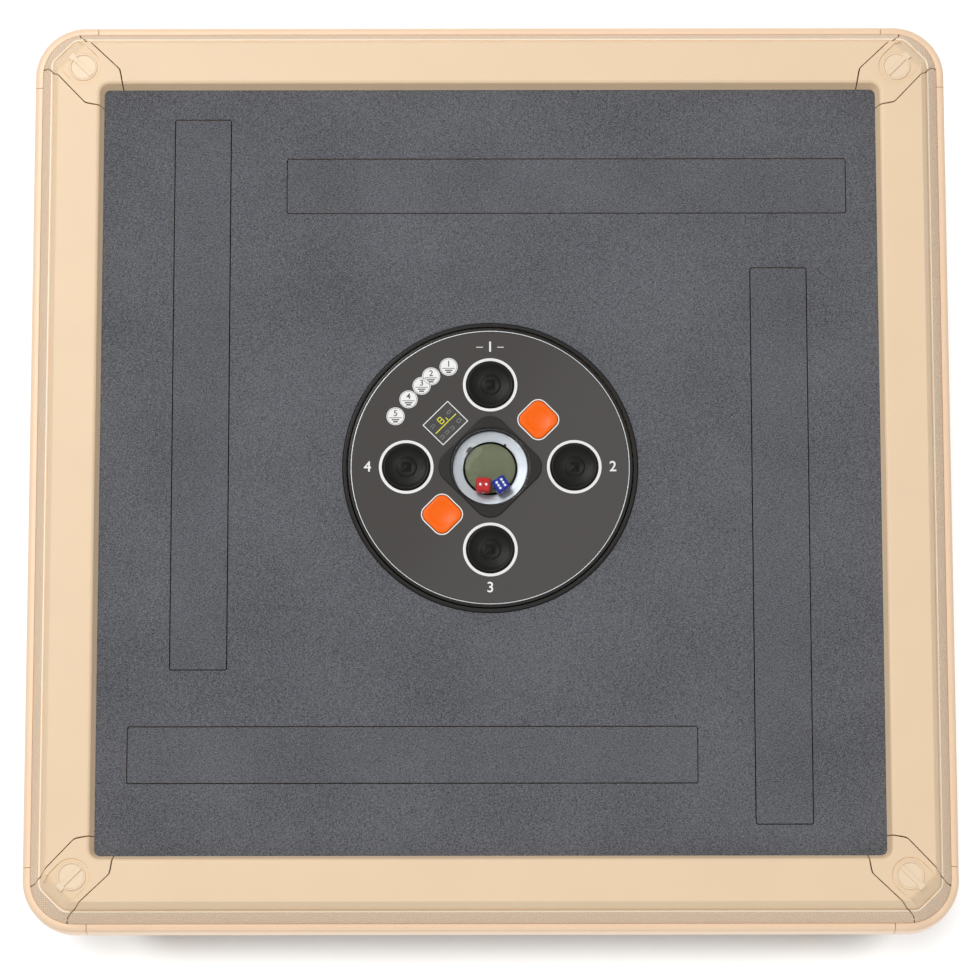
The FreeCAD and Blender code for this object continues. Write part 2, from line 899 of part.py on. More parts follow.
def pinion(x, y, z):
    """A spur pinion with its axis along Y, a tooth gap towards -X and its hub towards -Y."""
    body = new_body()
    radius = PITCH_RADIUS + TIP_RISE
    half_width = S.gear_width / 2
    pad(body, ring_outline(body, "XY", [(ZERO, ZERO, radius)], -half_width), S.gear_width)
    hub = ring_outline(body, "XY", [(ZERO, ZERO, S.gear_hub_radius)], half_width)
    pad(body, hub, S.gear_hub_length)
    bore = S.shaft_radius + S.running_fit
    top = half_width + S.gear_hub_length
    pocket(body, ring_outline(body, "XY", [(ZERO, ZERO, bore)], top),
           S.gear_width + S.gear_hub_length + S.overrun)
    root = PITCH_RADIUS - ROOT_DROP
    far = radius + TIP_RISE
    root_half = HALF_GAP - ROOT_DROP * ROOT_FLANK_SHARE
    far_half = HALF_GAP + TIP_RISE * 2 * TIP_FLANK_SHARE
    gap = [(-root, root_half), (-far, far_half), (-far, -far_half), (-root, -root_half)]
    tooth_gap = pocket(body, outline(body, "XY", gap, half_width), S.gear_width)
    polar_pattern(body, [tooth_gap], PINION_TEETH)
    return place(body, x, y, z, 90.0, (1, 0, 0))


# Tile lifts: a felt-faced deck over a carriage that a rack and pinion raise

BRACKET_HOLE_SHARES = (0.3, 0.55, 0.8)
POST_PLACES = (-S.lift_offset - S.post_spacing / 2, -S.lift_offset + S.post_spacing / 2)
LIFT_PINION_LINE = -S.lift_offset + PITCH_RADIUS + S.gear_play
DECK_CELLS = 5


def lift_deck():
    """The strip of playing surface that rises with a row of tiles, ribbed underneath."""
    body = new_body()
    pad(body, outline(body, "XY", slot_outline(ZERO), DECK_LOW), S.deck_thick)
    cell = (S.lift_length - S.deck_border * (DECK_CELLS + 1)) / DECK_CELLS
    left = -S.lift_offset - S.lift_length / 2 + S.deck_border
    low = -S.lift_line - S.lift_width / 2 + S.deck_border
    high = -S.lift_line + S.lift_width / 2 - S.deck_border
    first = [(left, low), (left + cell, low), (left + cell, high), (left, high)]
    hollow = pocket(body, outline(body, "XY", first, DECK_LOW), S.deck_pocket_depth, upwards=True)
    linear_pattern(body, [hollow], (cell + S.deck_border) * (DECK_CELLS - 1), DECK_CELLS, "X")
    return body


def lift_carriage():
    """A bracket with two guide posts and the rack that drives it."""
    low = DECK_LOW - S.bracket_height
    middle = -S.lift_offset
    half = S.bracket_length / 2
    half_thick = S.bracket_thick / 2
    line = -S.lift_line
    beam = box((middle - half, middle + half), (line - half_thick, line + half_thick),
               (low, DECK_LOW))
    posts = [rod(S.post_radius, S.post_length - S.bracket_height / 2, x, line,
                 DECK_LOW - S.post_length) for x in POST_PLACES]
    teeth = rack(middle, S.lift_line, S.rack_width, S.rack_back,
                 S.pinion_level - TOOTH_PITCH * LIFT_GAPS_BELOW, low + S.overrun,
                 S.pinion_level, S.pinion_level + S.lift_travel + TOOTH_PITCH * 3)
    hole_level = low + S.bracket_height / 2
    holes = [rod(S.bracket_hole / 2, S.bracket_thick + S.overrun * 2,
                 middle + side * half * share, line - half_thick - S.overrun, hole_level, "y")
             for side in (-1, 1) for share in BRACKET_HOLE_SHARES]
    return cut(fuse(beam, teeth, *posts), *holes)


def lift_guide():
    """A standing plate with two guide blocks for the posts and a hole for the motor shaft."""
    middle = -S.lift_offset
    half = S.guide_span / 2
    face = -(S.lift_line + S.guide_setback)
    back = face - S.guide_sheet
    top = PAN_TOP + S.guide_height
    plate = box((middle - half, middle + half), (back, face), (PAN_TOP, top))
    flange = box((middle - half, middle + half), (back - S.guide_flange, back),
                 (PAN_TOP, PAN_TOP + S.guide_sheet))
    blocks = []
    bores = []
    for x in POST_PLACES:
        side = S.guide_block_width / 2
        blocks.append(box((x - side, x + side), (face, -S.lift_line + side - S.guide_sheet),
                          (S.guide_block_level, S.guide_block_level + S.guide_block_height)))
        bores.append(rod(S.post_radius + S.running_fit, S.guide_block_height + S.overrun * 2,
                         x, -S.lift_line, S.guide_block_level - S.overrun))
    shaft_hole = rod(S.shaft_radius * 2, S.guide_sheet + S.overrun * 2, LIFT_PINION_LINE,
                     back - S.overrun, S.pinion_level, "y")
    return cut(fuse(plate, flange, *blocks), shaft_hole, *bores)


def tile_lifts():
    for quarter, side in enumerate(SIDES):
        node("lift_deck_" + side, quarter_turned(lift_deck(), quarter))
        node("lift_carriage_" + side, quarter_turned(lift_carriage(), quarter))
        gear = pinion(LIFT_PINION_LINE, -S.lift_line, S.pinion_level)
        node("lift_pinion_" + side, quarter_turned(group(gear), quarter))
    node("lift_guides", four(lift_guide))


# Tile stores beside the lifts, and the bars that push the rows on to them

STORE_ENDS = (-S.lift_offset - S.store_length / 2, -S.lift_offset + S.store_length / 2)
PUSHER_NOTCHES = 6


def tile_channel():
    """The floor, end walls and stop wall of one row of waiting tiles."""
    left = STORE_ENDS[0] - S.store_end_gap
    right = STORE_ENDS[1] + S.store_end_gap
    deck_edge = S.lift_line - S.lift_width / 2
    stop = S.lift_line + S.lift_width / 2 + S.store_outer_gap
    low = STORE_FLOOR - S.store_floor_thick
    floor = box((left, right), (-deck_edge + S.lift_gap, -S.store_inner), (low, STORE_FLOOR))
    ends = [box(span, (-stop, -S.store_inner), (low, BOARD_LOW))
            for span in ((left - S.store_wall, left), (right, right + S.store_wall))]
    wall = box((left - S.store_wall, right + S.store_wall),
               (-stop - S.store_wall, -stop), (low, BOARD_LOW))
    return group(floor, wall, *ends)


def tile_pusher():
    """A long bar with notches along its top that slides a row outwards."""
    body = new_body()
    middle = -S.lift_offset
    left = middle - S.pusher_length / 2
    right = middle + S.pusher_length / 2
    low = STORE_FLOOR + S.pusher_gap
    high = low + S.pusher_height
    inner = S.store_inner + S.pusher_inset
    bar = [(left, low), (right, low), (right, high), (left, high)]
    pad(body, outline(body, "XZ", bar, inner), S.pusher_thick)
    pitch = S.pusher_length / PUSHER_NOTCHES
    start = left + pitch / 2 - S.pusher_notch / 2
    end = start + S.pusher_notch
    notch = [(start, high - S.pusher_notch / 2), (end, high - S.pusher_notch / 2),
             (end, high + S.overrun), (start, high + S.overrun)]
    first = pocket(body, outline(body, "XZ", notch, inner + S.pusher_thick),
                   S.pusher_thick + S.overrun)
    linear_pattern(body, [first], pitch * (PUSHER_NOTCHES - 1), PUSHER_NOTCHES, "X")
    return body


def tile_stores():
    node("tile_channels", four(tile_channel))
    for quarter, side in enumerate(SIDES):
        node("tile_pusher_" + side, quarter_turned(tile_pusher(), quarter))


# Mixing drum

def drum_funnel():
    """The fixed wall of the drum, with four gates where the pickup wheels reach in."""
    knee = BOARD_LOW - S.drum_throat_drop
    band = S.drum_level + S.drum_band
    wall = S.drum_wall
    shell = revolved([
        (S.throat_radius, BOARD_LOW), (S.throat_radius, knee), (S.drum_radius, band),
        (S.drum_radius, S.drum_level), (S.drum_radius + wall, S.drum_level),
        (S.drum_radius + wall, band + wall / 2), (S.throat_radius + wall, knee + wall / 2),
        (S.throat_radius + wall, BOARD_LOW)])
    half = S.gate_width / 2
    gates = []
    for quarter in range(QUARTERS):
        gate = box((S.gate_inner, S.drum_radius + wall + S.overrun), (-half, half),
                   (band - S.drum_band / 2, BOARD_LOW - S.overrun))
        gates.append(place(group(gate), turn=90.0 * quarter + 45.0))
    return cut(shell, *gates)


def turntable():
    """The mixing disc, with a raised cone round its hub and four stirring paddles."""
    body = new_body()
    top = S.drum_level
    revolve(body, outline(body, "XZ", [
        (S.turntable_bore, top - S.turntable_thick), (S.turntable_radius, top - S.turntable_thick),
        (S.turntable_radius, top), (S.turntable_cone_foot, top),
        (S.turntable_cone_radius, top + S.turntable_cone_rise),
        (S.turntable_bore, top + S.turntable_cone_rise)]))
    half = S.paddle_thick / 2
    blade = [(S.paddle_start, -half), (S.paddle_end, -half),
             (S.paddle_end, half), (S.paddle_start, half)]
    paddle = pad(body, outline(body, "XY", blade, top), S.paddle_height)
    polar_pattern(body, [paddle], QUARTERS)
    return body


DRIVE_LEVEL = S.drum_level - S.turntable_thick - S.rolling_gap - S.drive_wheel_radius


def drive_wheel():
    """The rubber-tyred wheel that turns the mixing disc from below."""
    half = S.drive_wheel_width / 2
    radius = S.drive_wheel_radius
    bore = S.shaft_radius + S.running_fit
    wheel = revolved([
        (bore, -half), (radius - S.drive_tread, -half), (radius, -half + S.drive_tread),
        (radius, half - S.drive_tread), (radius - S.drive_tread, half), (bore, half)])
    return place(wheel, ZERO, S.drive_wheel_place, DRIVE_LEVEL, 90.0, (1, 0, 0))


def pickup_wheel():
    """A wheel with flats for its magnets, which lifts tiles out of the drum."""
    body = new_body()
    half = S.pickup_width / 2
    corners = []
    for flat in range(WHEEL_FLATS):
        angle = math.tau * (flat + 0.5) / WHEEL_FLATS
        corners.append((S.pickup_radius * round(math.cos(angle), 6),
                        S.pickup_radius * round(math.sin(angle), 6)))
    pad(body, outline(body, "XY", corners, -half), S.pickup_width)
    bore = ring_outline(body, "XY", [(ZERO, ZERO, S.shaft_radius + S.running_fit)], half)
    pocket(body, bore, S.pickup_width + S.overrun)
    wheel = place(body, S.pickup_place, ZERO, S.pickup_level, 90.0, (1, 0, 0))
    return place(group(wheel), turn=-45.0)


def mixing_drum():
    node("drum_funnel", drum_funnel())
    node("turntable", turntable())
    node("drive_wheel", drive_wheel())
    for quarter, corner in enumerate(("southeast", "northeast", "northwest", "southwest")):
        node("pickup_wheel_" + corner, quarter_turned(group(pickup_wheel()), quarter))


# Centre lift

COLUMN_HALF = S.column_side / 2
CENTRE_PITCH_LINE = COLUMN_HALF + ROOT_DROP
CENTRE_PINION_LINE = CENTRE_PITCH_LINE + PITCH_RADIUS + S.gear_play


def square_tube(half, inner_half, low, high):
    outer = box((-half, half), (-half, half), (low, high))
    inner = box((-inner_half, inner_half), (-inner_half, inner_half),
                (low - S.overrun, high + S.overrun))
    return outer, inner


def lift_column():
    """The square column that carries the console, with a rack down its right face."""
    half = COLUMN_HALF
    rack_top = S.centre_pinion_level + TOOTH_PITCH * 2
    outer = box((-half, half), (-half, half), (S.column_foot, S.column_top))
    inner_half = half - S.column_wall
    inner = box((-inner_half, inner_half), (-inner_half, inner_half),
                (S.column_foot - S.overrun, S.column_top - S.column_wall))
    teeth = rack(CENTRE_PITCH_LINE, ZERO, S.centre_rack_width, S.column_wall / 2,
                 S.column_foot, rack_top, S.centre_pinion_level, rack_top)
    return fuse(cut(outer, inner), teeth)


def column_guide():
    """The guide tube on the base pan, with a bearing collar for the mixing disc."""
    half = S.guide_tube_side / 2
    inner_half = COLUMN_HALF + S.column_fit
    outer, inner = square_tube(half, inner_half, PAN_TOP, S.guide_tube_top)
    disc_low = S.drum_level - S.turntable_thick
    collar_low = disc_low - S.rolling_gap - S.collar_thick
    collar = rod(S.collar_radius, S.collar_thick, z=collar_low)
    spigot_radius = S.turntable_bore - S.rolling_gap
    spigot = rod(spigot_radius, S.turntable_thick + S.collar_thick, z=collar_low)
    foot = rod(spigot_radius, S.collar_thick, z=PAN_TOP)
    side = S.centre_rack_width / 2 + S.window_gap
    window_top = S.centre_pinion_level + TOOTH_PITCH * 2 + S.column_travel + S.window_gap
    window = box((ZERO, half + S.window_gap * 3), (-side, side),
                 (PAN_TOP + S.window_gap, window_top))
    return cut(fuse(outer, collar, spigot, foot), inner, window)


def centre_lift():
    node("lift_column", lift_column())
    node("column_guide", column_guide())
    node("centre_pinion", pinion(CENTRE_PINION_LINE, ZERO, S.centre_pinion_level))


# Gear motors and their brackets

def gearmotor(x, face, level, shaft_end, foot):
    """A motor behind a gearbox, its face at a place on the -Y side and its shaft towards +Y.

    foot is the level that its bracket stands on, or None where it hangs on a plate.
    """
    half = S.gearbox_side / 2
    centre = level - S.shaft_offset
    back = face - S.gearbox_depth
    pieces = [
        box((x - half, x + half), (back, face), (centre - half, centre + half)),
        rod(S.motor_radius, S.motor_length, x, back - S.motor_length, centre, "y"),
        rod(S.shaft_radius, shaft_end - face + S.gearbox_depth / 2, x,
            face - S.gearbox_depth / 2, level, "y"),
    ]
    if foot is not None:
        pieces.append(box((x - half, x + half), (back, back + S.motor_sheet),
                          (foot, centre - half)))
        pieces.append(box((x - half, x + half), (back - S.guide_flange, back + S.motor_sheet),
                          (foot, foot + S.motor_sheet)))
    return fuse(*pieces)


def lift_motor():
    face = -(S.lift_line + S.guide_setback + S.guide_sheet)
    return gearmotor(LIFT_PINION_LINE, face, S.pinion_level,
                     -S.lift_line + S.gear_width / 2 + S.running_fit, None)


def pickup_motor():
    """The pickup wheel's motor, beside the drum on a tall bracket."""
    half = S.pickup_width / 2
    face = half + S.rolling_gap
    low = S.pickup_level - S.gearbox_depth / 2
    high = S.pickup_level + S.small_gearbox_rise
    inner = S.pickup_place - S.gearbox_depth / 2
    outer = S.pickup_place + S.small_gearbox_side
    pieces = [
        box((inner, outer), (face, face + S.gearbox_depth), (low, high)),
        rod(S.small_motor_radius, S.small_motor_length, S.pickup_place,
            face + S.gearbox_depth, S.pickup_level, "y"),
        rod(S.shaft_radius, half * 2 + face, S.pickup_place, -half, S.pickup_level, "y"),
        box((outer, outer + S.motor_sheet), (face, face + S.gearbox_side), (PAN_TOP, high)),
        box((outer, outer + S.guide_flange), (face, face + S.gearbox_side),
            (PAN_TOP, PAN_TOP + S.motor_sheet)),
    ]
    return place(fuse(*pieces), turn=-45.0)


def gearmotors():
    centre = gearmotor(CENTRE_PINION_LINE, -(S.guide_tube_side / 2 + S.window_gap),
                       S.centre_pinion_level, S.gear_width / 2 + S.running_fit, PAN_TOP)
    drum = gearmotor(ZERO, -(S.drive_wheel_place + S.drive_wheel_width / 2 + S.window_gap),
                     DRIVE_LEVEL, -(S.drive_wheel_place - S.drive_wheel_width / 2), PAN_TOP)
    drum = quarter_turned(group(drum), 2)
    node("gearmotors", group(four(lift_motor), four(pickup_motor), centre, drum))


# Centre console

def console_housing():
    """The bowl under the panel, with a ledge for the panel and a bearing for the dice plate."""
    foot = S.column_top
    floor = foot + S.console_wall
    side_low = S.felt_level - S.console_side_drop
    ledge = S.panel_radius - S.panel_ledge / 2
    lip = S.ring_outer + S.ring_gap
    boss_top = floor + S.spindle_boss_height
    bore = S.spindle_radius + S.running_fit
    return revolved([
        (ZERO, foot), (S.console_foot_radius, foot), (S.console_radius, side_low),
        (S.console_radius, S.felt_level + S.console_lip_rise),
        (lip, S.felt_level + S.console_lip_rise), (lip, PANEL_LOW),
        (ledge, PANEL_LOW), (ledge, side_low + S.console_wall / 2),
        (S.console_foot_radius, floor), (S.spindle_boss, floor),
        (S.spindle_boss, boss_top), (bore, boss_top), (bore, floor), (ZERO, floor)])


def seat_cup_radius():
    return S.seat_bore + S.seat_wall


def round_button_tool(half, corner, low, high, sign):
    """A round-cornered square block on the diagonal of the console."""
    block = rounded_block(half, corner, low, high)
    return place(block, S.round_button_place * sign, S.round_button_place * sign, turn=45.0)


def display_tool(gap, low, high):
    """A rectangular block at the display, with its long side along the diagonal."""
    length = S.display_length / 2 + gap
    width = S.display_width / 2 + gap
    block = box((-length, length), (-width, width), (low, high))
    return place(group(block), -S.display_place, S.display_place, turn=45.0)


def console_panel():
    """The round top panel, cut out for the dice cup, six buttons and the display."""
    bore = seat_cup_radius() + S.close_gap
    disc = revolved([
        (bore, PANEL_LOW), (S.panel_radius, PANEL_LOW),
        (S.panel_radius, CONSOLE_TOP - S.panel_edge),
        (S.panel_radius - S.panel_edge, CONSOLE_TOP), (bore, CONSOLE_TOP)])
    low = PANEL_LOW - S.overrun
    high = CONSOLE_TOP + S.overrun
    holes = [quarter_turned(group(rod(S.seat_button_radius + S.button_gap, high - low,
                                      y=-S.seat_button_place, z=low)), quarter)
             for quarter in range(QUARTERS)]
    half = S.round_button_half + S.button_gap
    corner = S.round_button_corner + S.button_gap
    holes += [round_button_tool(half, corner, low, high, sign) for sign in (-1, 1)]
    holes.append(display_tool(ZERO, low, high))
    return cut(disc, *holes)


def display_module():
    """The display, recessed in its window and flanged under the panel."""
    window = display_tool(-S.close_gap, PANEL_LOW - S.display_depth,
                          CONSOLE_TOP - S.display_recess)
    flange = display_tool(S.display_flange, PANEL_LOW - S.display_depth, PANEL_LOW)
    return fuse(window, flange)


def top_edges(feature):
    """The names of the edges round the top face of a padded block."""
    middle = feature.Shape.BoundBox.Center.z
    return [f"Edge{index + 1}" for index, edge in enumerate(feature.Shape.Edges)
            if edge.BoundBox.ZMin > middle]


def bevelled_block(half, corner, low, high, bevel):
    """A block with round corners and its top edge bevelled."""
    body = new_body()
    block = pad(body, outline(body, "XY", rounded_square(half, corner), low), high - low)
    DOC.recompute()
    chamfer = body.newObject("PartDesign::Chamfer", "Chamfer")
    chamfer.Base = (block, top_edges(block))
    bind(chamfer, "Size", bevel)
    return body


def seat_button():
    """A dished round push button in front of one seat."""
    low = CONSOLE_TOP - S.button_depth
    top = CONSOLE_TOP + S.seat_button_rise
    rim = S.seat_button_radius - S.seat_button_bevel
    button = revolved([
        (ZERO, low), (S.seat_button_radius, low), (S.seat_button_radius, top - S.seat_button_bevel),
        (rim, top), (ZERO, top - S.seat_button_dish)])
    return place(button, y=-S.seat_button_place)


def round_button(sign):
    low = CONSOLE_TOP - S.button_depth
    button = bevelled_block(S.round_button_half, S.round_button_corner, low,
                            CONSOLE_TOP + S.round_button_rise, S.round_button_bevel)
    return place(button, S.round_button_place * sign, S.round_button_place * sign, turn=45.0)


def centre_console():
    node("console_housing", console_housing())
    node("console_panel", console_panel())
    node("console_ring", revolved([
        (S.ring_inner, PANEL_LOW), (S.ring_outer, PANEL_LOW),
        (S.ring_outer, CONSOLE_TOP + S.ring_rise), (S.ring_inner, CONSOLE_TOP + S.ring_rise)]))
    for quarter, side in enumerate(SIDES):
        node("seat_button_" + side, quarter_turned(group(seat_button()), quarter))
    node("dice_button", round_button(1))
    node("raise_button", round_button(-1))
    node("display_module", display_module())


# Dice dome

DOME_SHARES = ((1.0, 0.0), (0.985, 0.4), (0.905, 0.69), (0.62, 0.92), (0.0, 1.0))
PLATE_TOP = S.felt_level - S.plate_top_drop


def dome_seat():
    """The black round-cornered seat of the dome, with a cup that holds the metal bowl."""
    body = new_body()
    top = CONSOLE_TOP + S.seat_rise
    square = outline(body, "XY", rounded_square(S.seat_half, S.seat_corner), CONSOLE_TOP)
    pad(body, square, S.seat_rise)
    pocket(body, ring_outline(body, "XY", [(ZERO, ZERO, S.seat_bore)], top),
           S.seat_rise + S.overrun)
    low = CONSOLE_TOP - S.seat_depth
    revolve(body, outline(body, "XZ", [
        (S.bowl_inner, low), (seat_cup_radius(), low),
        (seat_cup_radius(), CONSOLE_TOP + S.seat_rise / 2),
        (S.seat_bore, CONSOLE_TOP + S.seat_rise / 2), (S.seat_bore, low + S.seat_ledge),
        (S.bowl_inner, low + S.seat_ledge)]))
    return place(body, turn=45.0)


def dice_dome():
    """The clear dome over the dice."""
    base = CONSOLE_TOP + S.seat_rise
    inner_radius = S.dome_radius - S.dome_wall
    inner_rise = S.dome_rise - S.dome_wall
    outer = [(S.dome_radius * wide, base + S.dome_rise * tall) for wide, tall in DOME_SHARES]
    inner = [(inner_radius * wide, base + inner_rise * tall)
             for wide, tall in reversed(DOME_SHARES)]
    outer[-1] = (ZERO, base + S.dome_rise)
    inner[0] = (ZERO, base + inner_rise)
    outer[0] = (S.dome_radius, base)
    inner[-1] = (inner_radius, base)
    return revolved(outer + inner)


def die(across, along, turn):
    """One bevelled die on the plate."""
    body = new_body()
    half = S.die_side / 2
    square = [(-half, -half), (half, -half), (half, half), (-half, half)]
    cube = pad(body, outline(body, "XY", square, PLATE_TOP), S.die_side)
    DOC.recompute()
    chamfer = body.newObject("PartDesign::Chamfer", "Chamfer")
    chamfer.Base = (cube, [f"Edge{edge + 1}" for edge in range(len(cube.Shape.Edges))])
    bind(chamfer, "Size", S.die_bevel)
    return place(body, across, along, turn=turn)


def dice_shaker():
    low = CONSOLE_TOP - S.seat_depth + S.seat_ledge
    node("dome_seat", dome_seat())
    node("dome_ring", revolved([
        (S.bowl_inner, low), (S.bowl_outer, low), (S.bowl_outer, low + S.bowl_rise),
        (S.bowl_inner, low + S.bowl_edge)]))
    node("dice_dome", dice_dome())
    plate_low = PLATE_TOP - S.plate_thick
    spindle_low = S.column_top + S.console_wall + S.spindle_foot_gap
    node("dice_plate", revolved([
        (ZERO, spindle_low), (S.spindle_radius, spindle_low), (S.spindle_radius, plate_low),
        (S.plate_radius, plate_low), (S.plate_radius, PLATE_TOP), (ZERO, PLATE_TOP)]))
    node("dice", group(die(S.die_one_across, S.die_one_along, 0.0),
                       die(S.die_two_across, S.die_two_along, DICE_TURN)))


# Base cabinet, legs and feet

def base_pan():
    """The floor of the cabinet, notched at its corners for the legs."""
    half = S.cabinet_half - S.sheet - S.pan_gap
    notch = S.leg_outer - S.leg_side - S.pan_gap
    corner = [(notch, -half), (notch, -notch), (half, -notch)]
    points = []
    for quarter in range(QUARTERS):
        for x, y in corner:
            for _ in range(quarter):
                x, y = -as_size(y), x
            points.append((x, y))
    return upright(points, PAN_TOP - S.pan_sheet, PAN_TOP)


def side_panel(has_inlet):
    """A folded cover between two legs, with a shelf for the pan and a row of vents."""
    body = new_body()
    outer = -S.cabinet_half
    inner = outer + S.sheet
    shelf = PANEL_FOOT + S.panel_flange
    half = S.leg_outer - S.leg_side - S.pan_gap
    section = [
        (outer, PANEL_FOOT), (inner, PANEL_FOOT), (inner, shelf - S.sheet),
        (inner + S.panel_flange, shelf - S.sheet), (inner + S.panel_flange, shelf),
        (inner, shelf), (inner, BOARD_LOW), (outer, BOARD_LOW)]
    pad(body, outline(body, "YZ", section), half * 2, centred=True)
    start = -S.vent_pitch * (VENT_SLOTS - 1) / 2 - S.vent_width / 2
    slot = [(start, S.vent_level), (start + S.vent_width, S.vent_level),
            (start + S.vent_width, S.vent_level + S.vent_height),
            (start, S.vent_level + S.vent_height)]
    vent = pocket(body, outline(body, "XZ", slot, S.cabinet_half), S.sheet + S.overrun)
    linear_pattern(body, [vent], S.vent_pitch * (VENT_SLOTS - 1), VENT_SLOTS, "X")
    if not has_inlet:
        return body
    wide = S.inlet_width / 2 + S.close_gap
    tall = S.inlet_height / 2 + S.close_gap
    hole = box((S.inlet_place - wide, S.inlet_place + wide), (outer - S.overrun, inner + S.overrun),
               (S.inlet_level - tall, S.inlet_level + tall))
    return cut(body, hole)


def leg():
    """A post that is square beside the cabinet and tapers on its outer sides below it."""
    body = new_body()
    half = S.leg_side / 2
    pad(body, outline(body, "XY", rounded_square(half, S.leg_edge), S.leg_break),
        BOARD_LOW - S.leg_break)
    upper = outline(body, "XY", rounded_square(half, S.leg_edge), S.leg_break)
    shift = half - S.leg_foot_side / 2
    lower = outline(body, "XY",
                    shifted(rounded_square(S.leg_foot_side / 2, S.leg_edge), -shift, shift),
                    S.foot_height)
    taper = body.newObject("PartDesign::AdditiveLoft", "Taper")
    taper.Profile = upper
    taper.Sections = [(lower, [""])]
    centre = S.leg_outer - half
    return place(body, centre, -centre)


def foot():
    """A round glide under a leg."""
    centre = S.leg_outer - S.leg_side + S.leg_foot_side / 2
    glide = revolved([
        (ZERO, ZERO), (S.foot_radius - S.foot_bevel, ZERO), (S.foot_radius, S.foot_bevel),
        (S.foot_radius, S.foot_height), (ZERO, S.foot_height)])
    return place(glide, centre, -centre)


def power_inlet():
    """A flanged inlet in the north cover, open to the outside."""
    outer = -S.cabinet_half
    wide = S.inlet_width / 2
    tall = S.inlet_height / 2
    place_x = S.inlet_place
    level = S.inlet_level
    flange = S.inlet_flange
    shell = box((place_x - wide, place_x + wide), (outer, outer + S.inlet_depth),
                (level - tall, level + tall))
    plate = box((place_x - wide - flange, place_x + wide + flange),
                (outer - S.sheet, outer), (level - tall - flange, level + tall + flange))
    hollow = box((place_x - wide + S.inlet_wall, place_x + wide - S.inlet_wall),
                 (outer - S.sheet - S.overrun, outer + S.inlet_depth - S.inlet_wall),
                 (level - tall + S.inlet_wall, level + tall - S.inlet_wall))
    return cut(fuse(shell, plate), hollow)


CARD_PART_SHARES = (
    (-0.85, -0.35, -0.7, 0.5, 1.0), (-0.2, 0.1, -0.6, 0.1, 0.7),
    (0.25, 0.85, -0.7, -0.3, 0.5), (0.25, 0.85, 0.3, 0.75, 0.4),
)


def control_board():
    """The control card on four pillars, with a transformer, a relay block and connectors."""
    middle = S.card_place
    half_length = S.card_length / 2
    line = -S.card_setback
    half_width = S.card_width / 2
    low = PAN_TOP + S.card_standoff
    top = low + S.card_thick
    card = box((middle - half_length, middle + half_length),
               (line - half_width, line + half_width), (low, top))
    inset = S.card_standoff
    pillars = [rod(S.card_standoff / 2, S.card_standoff, middle + side * (half_length - inset),
                   line + end * (half_width - inset), PAN_TOP)
               for side in (-1, 1) for end in (-1, 1)]
    parts = [box((middle + half_length * start, middle + half_length * stop),
                 (line + half_width * near, line + half_width * far),
                 (top, top + S.card_part_height * tall))
             for start, stop, near, far, tall in CARD_PART_SHARES]
    return fuse(card, *pillars, *parts)


def base_cabinet():
    node("base_pan", base_pan())
    node("side_panels", group(*[quarter_turned(group(side_panel(side == "north")), quarter)
                                for quarter, side in enumerate(SIDES)]))
    node("legs", four(leg))
    node("feet", four(foot))
    node("power_inlet", quarter_turned(power_inlet(), 2))
    node("control_board", control_board())


def check_document():
    """Stops if a feature failed or a finished shape is not sound."""
    DOC.recompute()
    for thing in DOC.Objects:
        if "Invalid" in thing.State or "Error" in thing.State:
            raise ValueError(f"{thing.Label} ({thing.Name}) did not build")
    for name, thing in NODES:
        shape = thing.Shape
        if shape.isNull() or not shape.isValid() or not shape.Solids:
            raise ValueError(name + " has no sound shape")
        print(f"{name}: {len(shape.Solids)} solid(s), {shape.Volume / 1000:.1f} cm3")


def write_parts():
    os.makedirs("parts", exist_ok=True)
    for name, thing in NODES:
        thing.Shape.exportStep(f"parts/{name}.step")


def main():
    playing_surface()
    moulded_rim()
    tile_lifts()
    tile_stores()
    mixing_drum()
    centre_lift()
    gearmotors()
    centre_console()
    dice_shaker()
    base_cabinet()
    check_document()
    write_parts()


main()
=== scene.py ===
"""An automatic mahjong table, dressed for its picture.

The table stands on the floor at z = 0, with its middle over the origin, its south seat towards
-Y and its north seat towards +Y. Sizes are in millimetres, but in metres for finishes and lamps.
"""

import logging
import math
from collections.abc import Callable, Sequence
from dataclasses import dataclass, field
from enum import Enum

import bmesh
import bpy
from mathutils import Matrix, Vector


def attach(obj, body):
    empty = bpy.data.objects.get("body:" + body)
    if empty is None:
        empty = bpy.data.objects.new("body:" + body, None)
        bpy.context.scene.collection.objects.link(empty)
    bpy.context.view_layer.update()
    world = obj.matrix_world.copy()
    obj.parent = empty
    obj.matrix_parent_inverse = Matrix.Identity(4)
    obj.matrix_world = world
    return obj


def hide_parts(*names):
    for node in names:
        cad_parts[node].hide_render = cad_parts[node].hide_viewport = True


LOG = logging.getLogger("mahjong_table")
MM = 0.001
SIDES = ("south", "east", "north", "west")
CORNERS = ("southeast", "northeast", "northwest", "southwest")
SQUARE_KEYS = (("dice_button", 1), ("raise_button", -1))
Point = tuple[float, float]
Place = tuple[float, float, float]
Bar = tuple[float, float, float, float]
Colour = tuple[float, float, float, float]
Test = Callable[[Vector], bool]
Socket = bpy.types.NodeSocket
Thing = bpy.types.Object

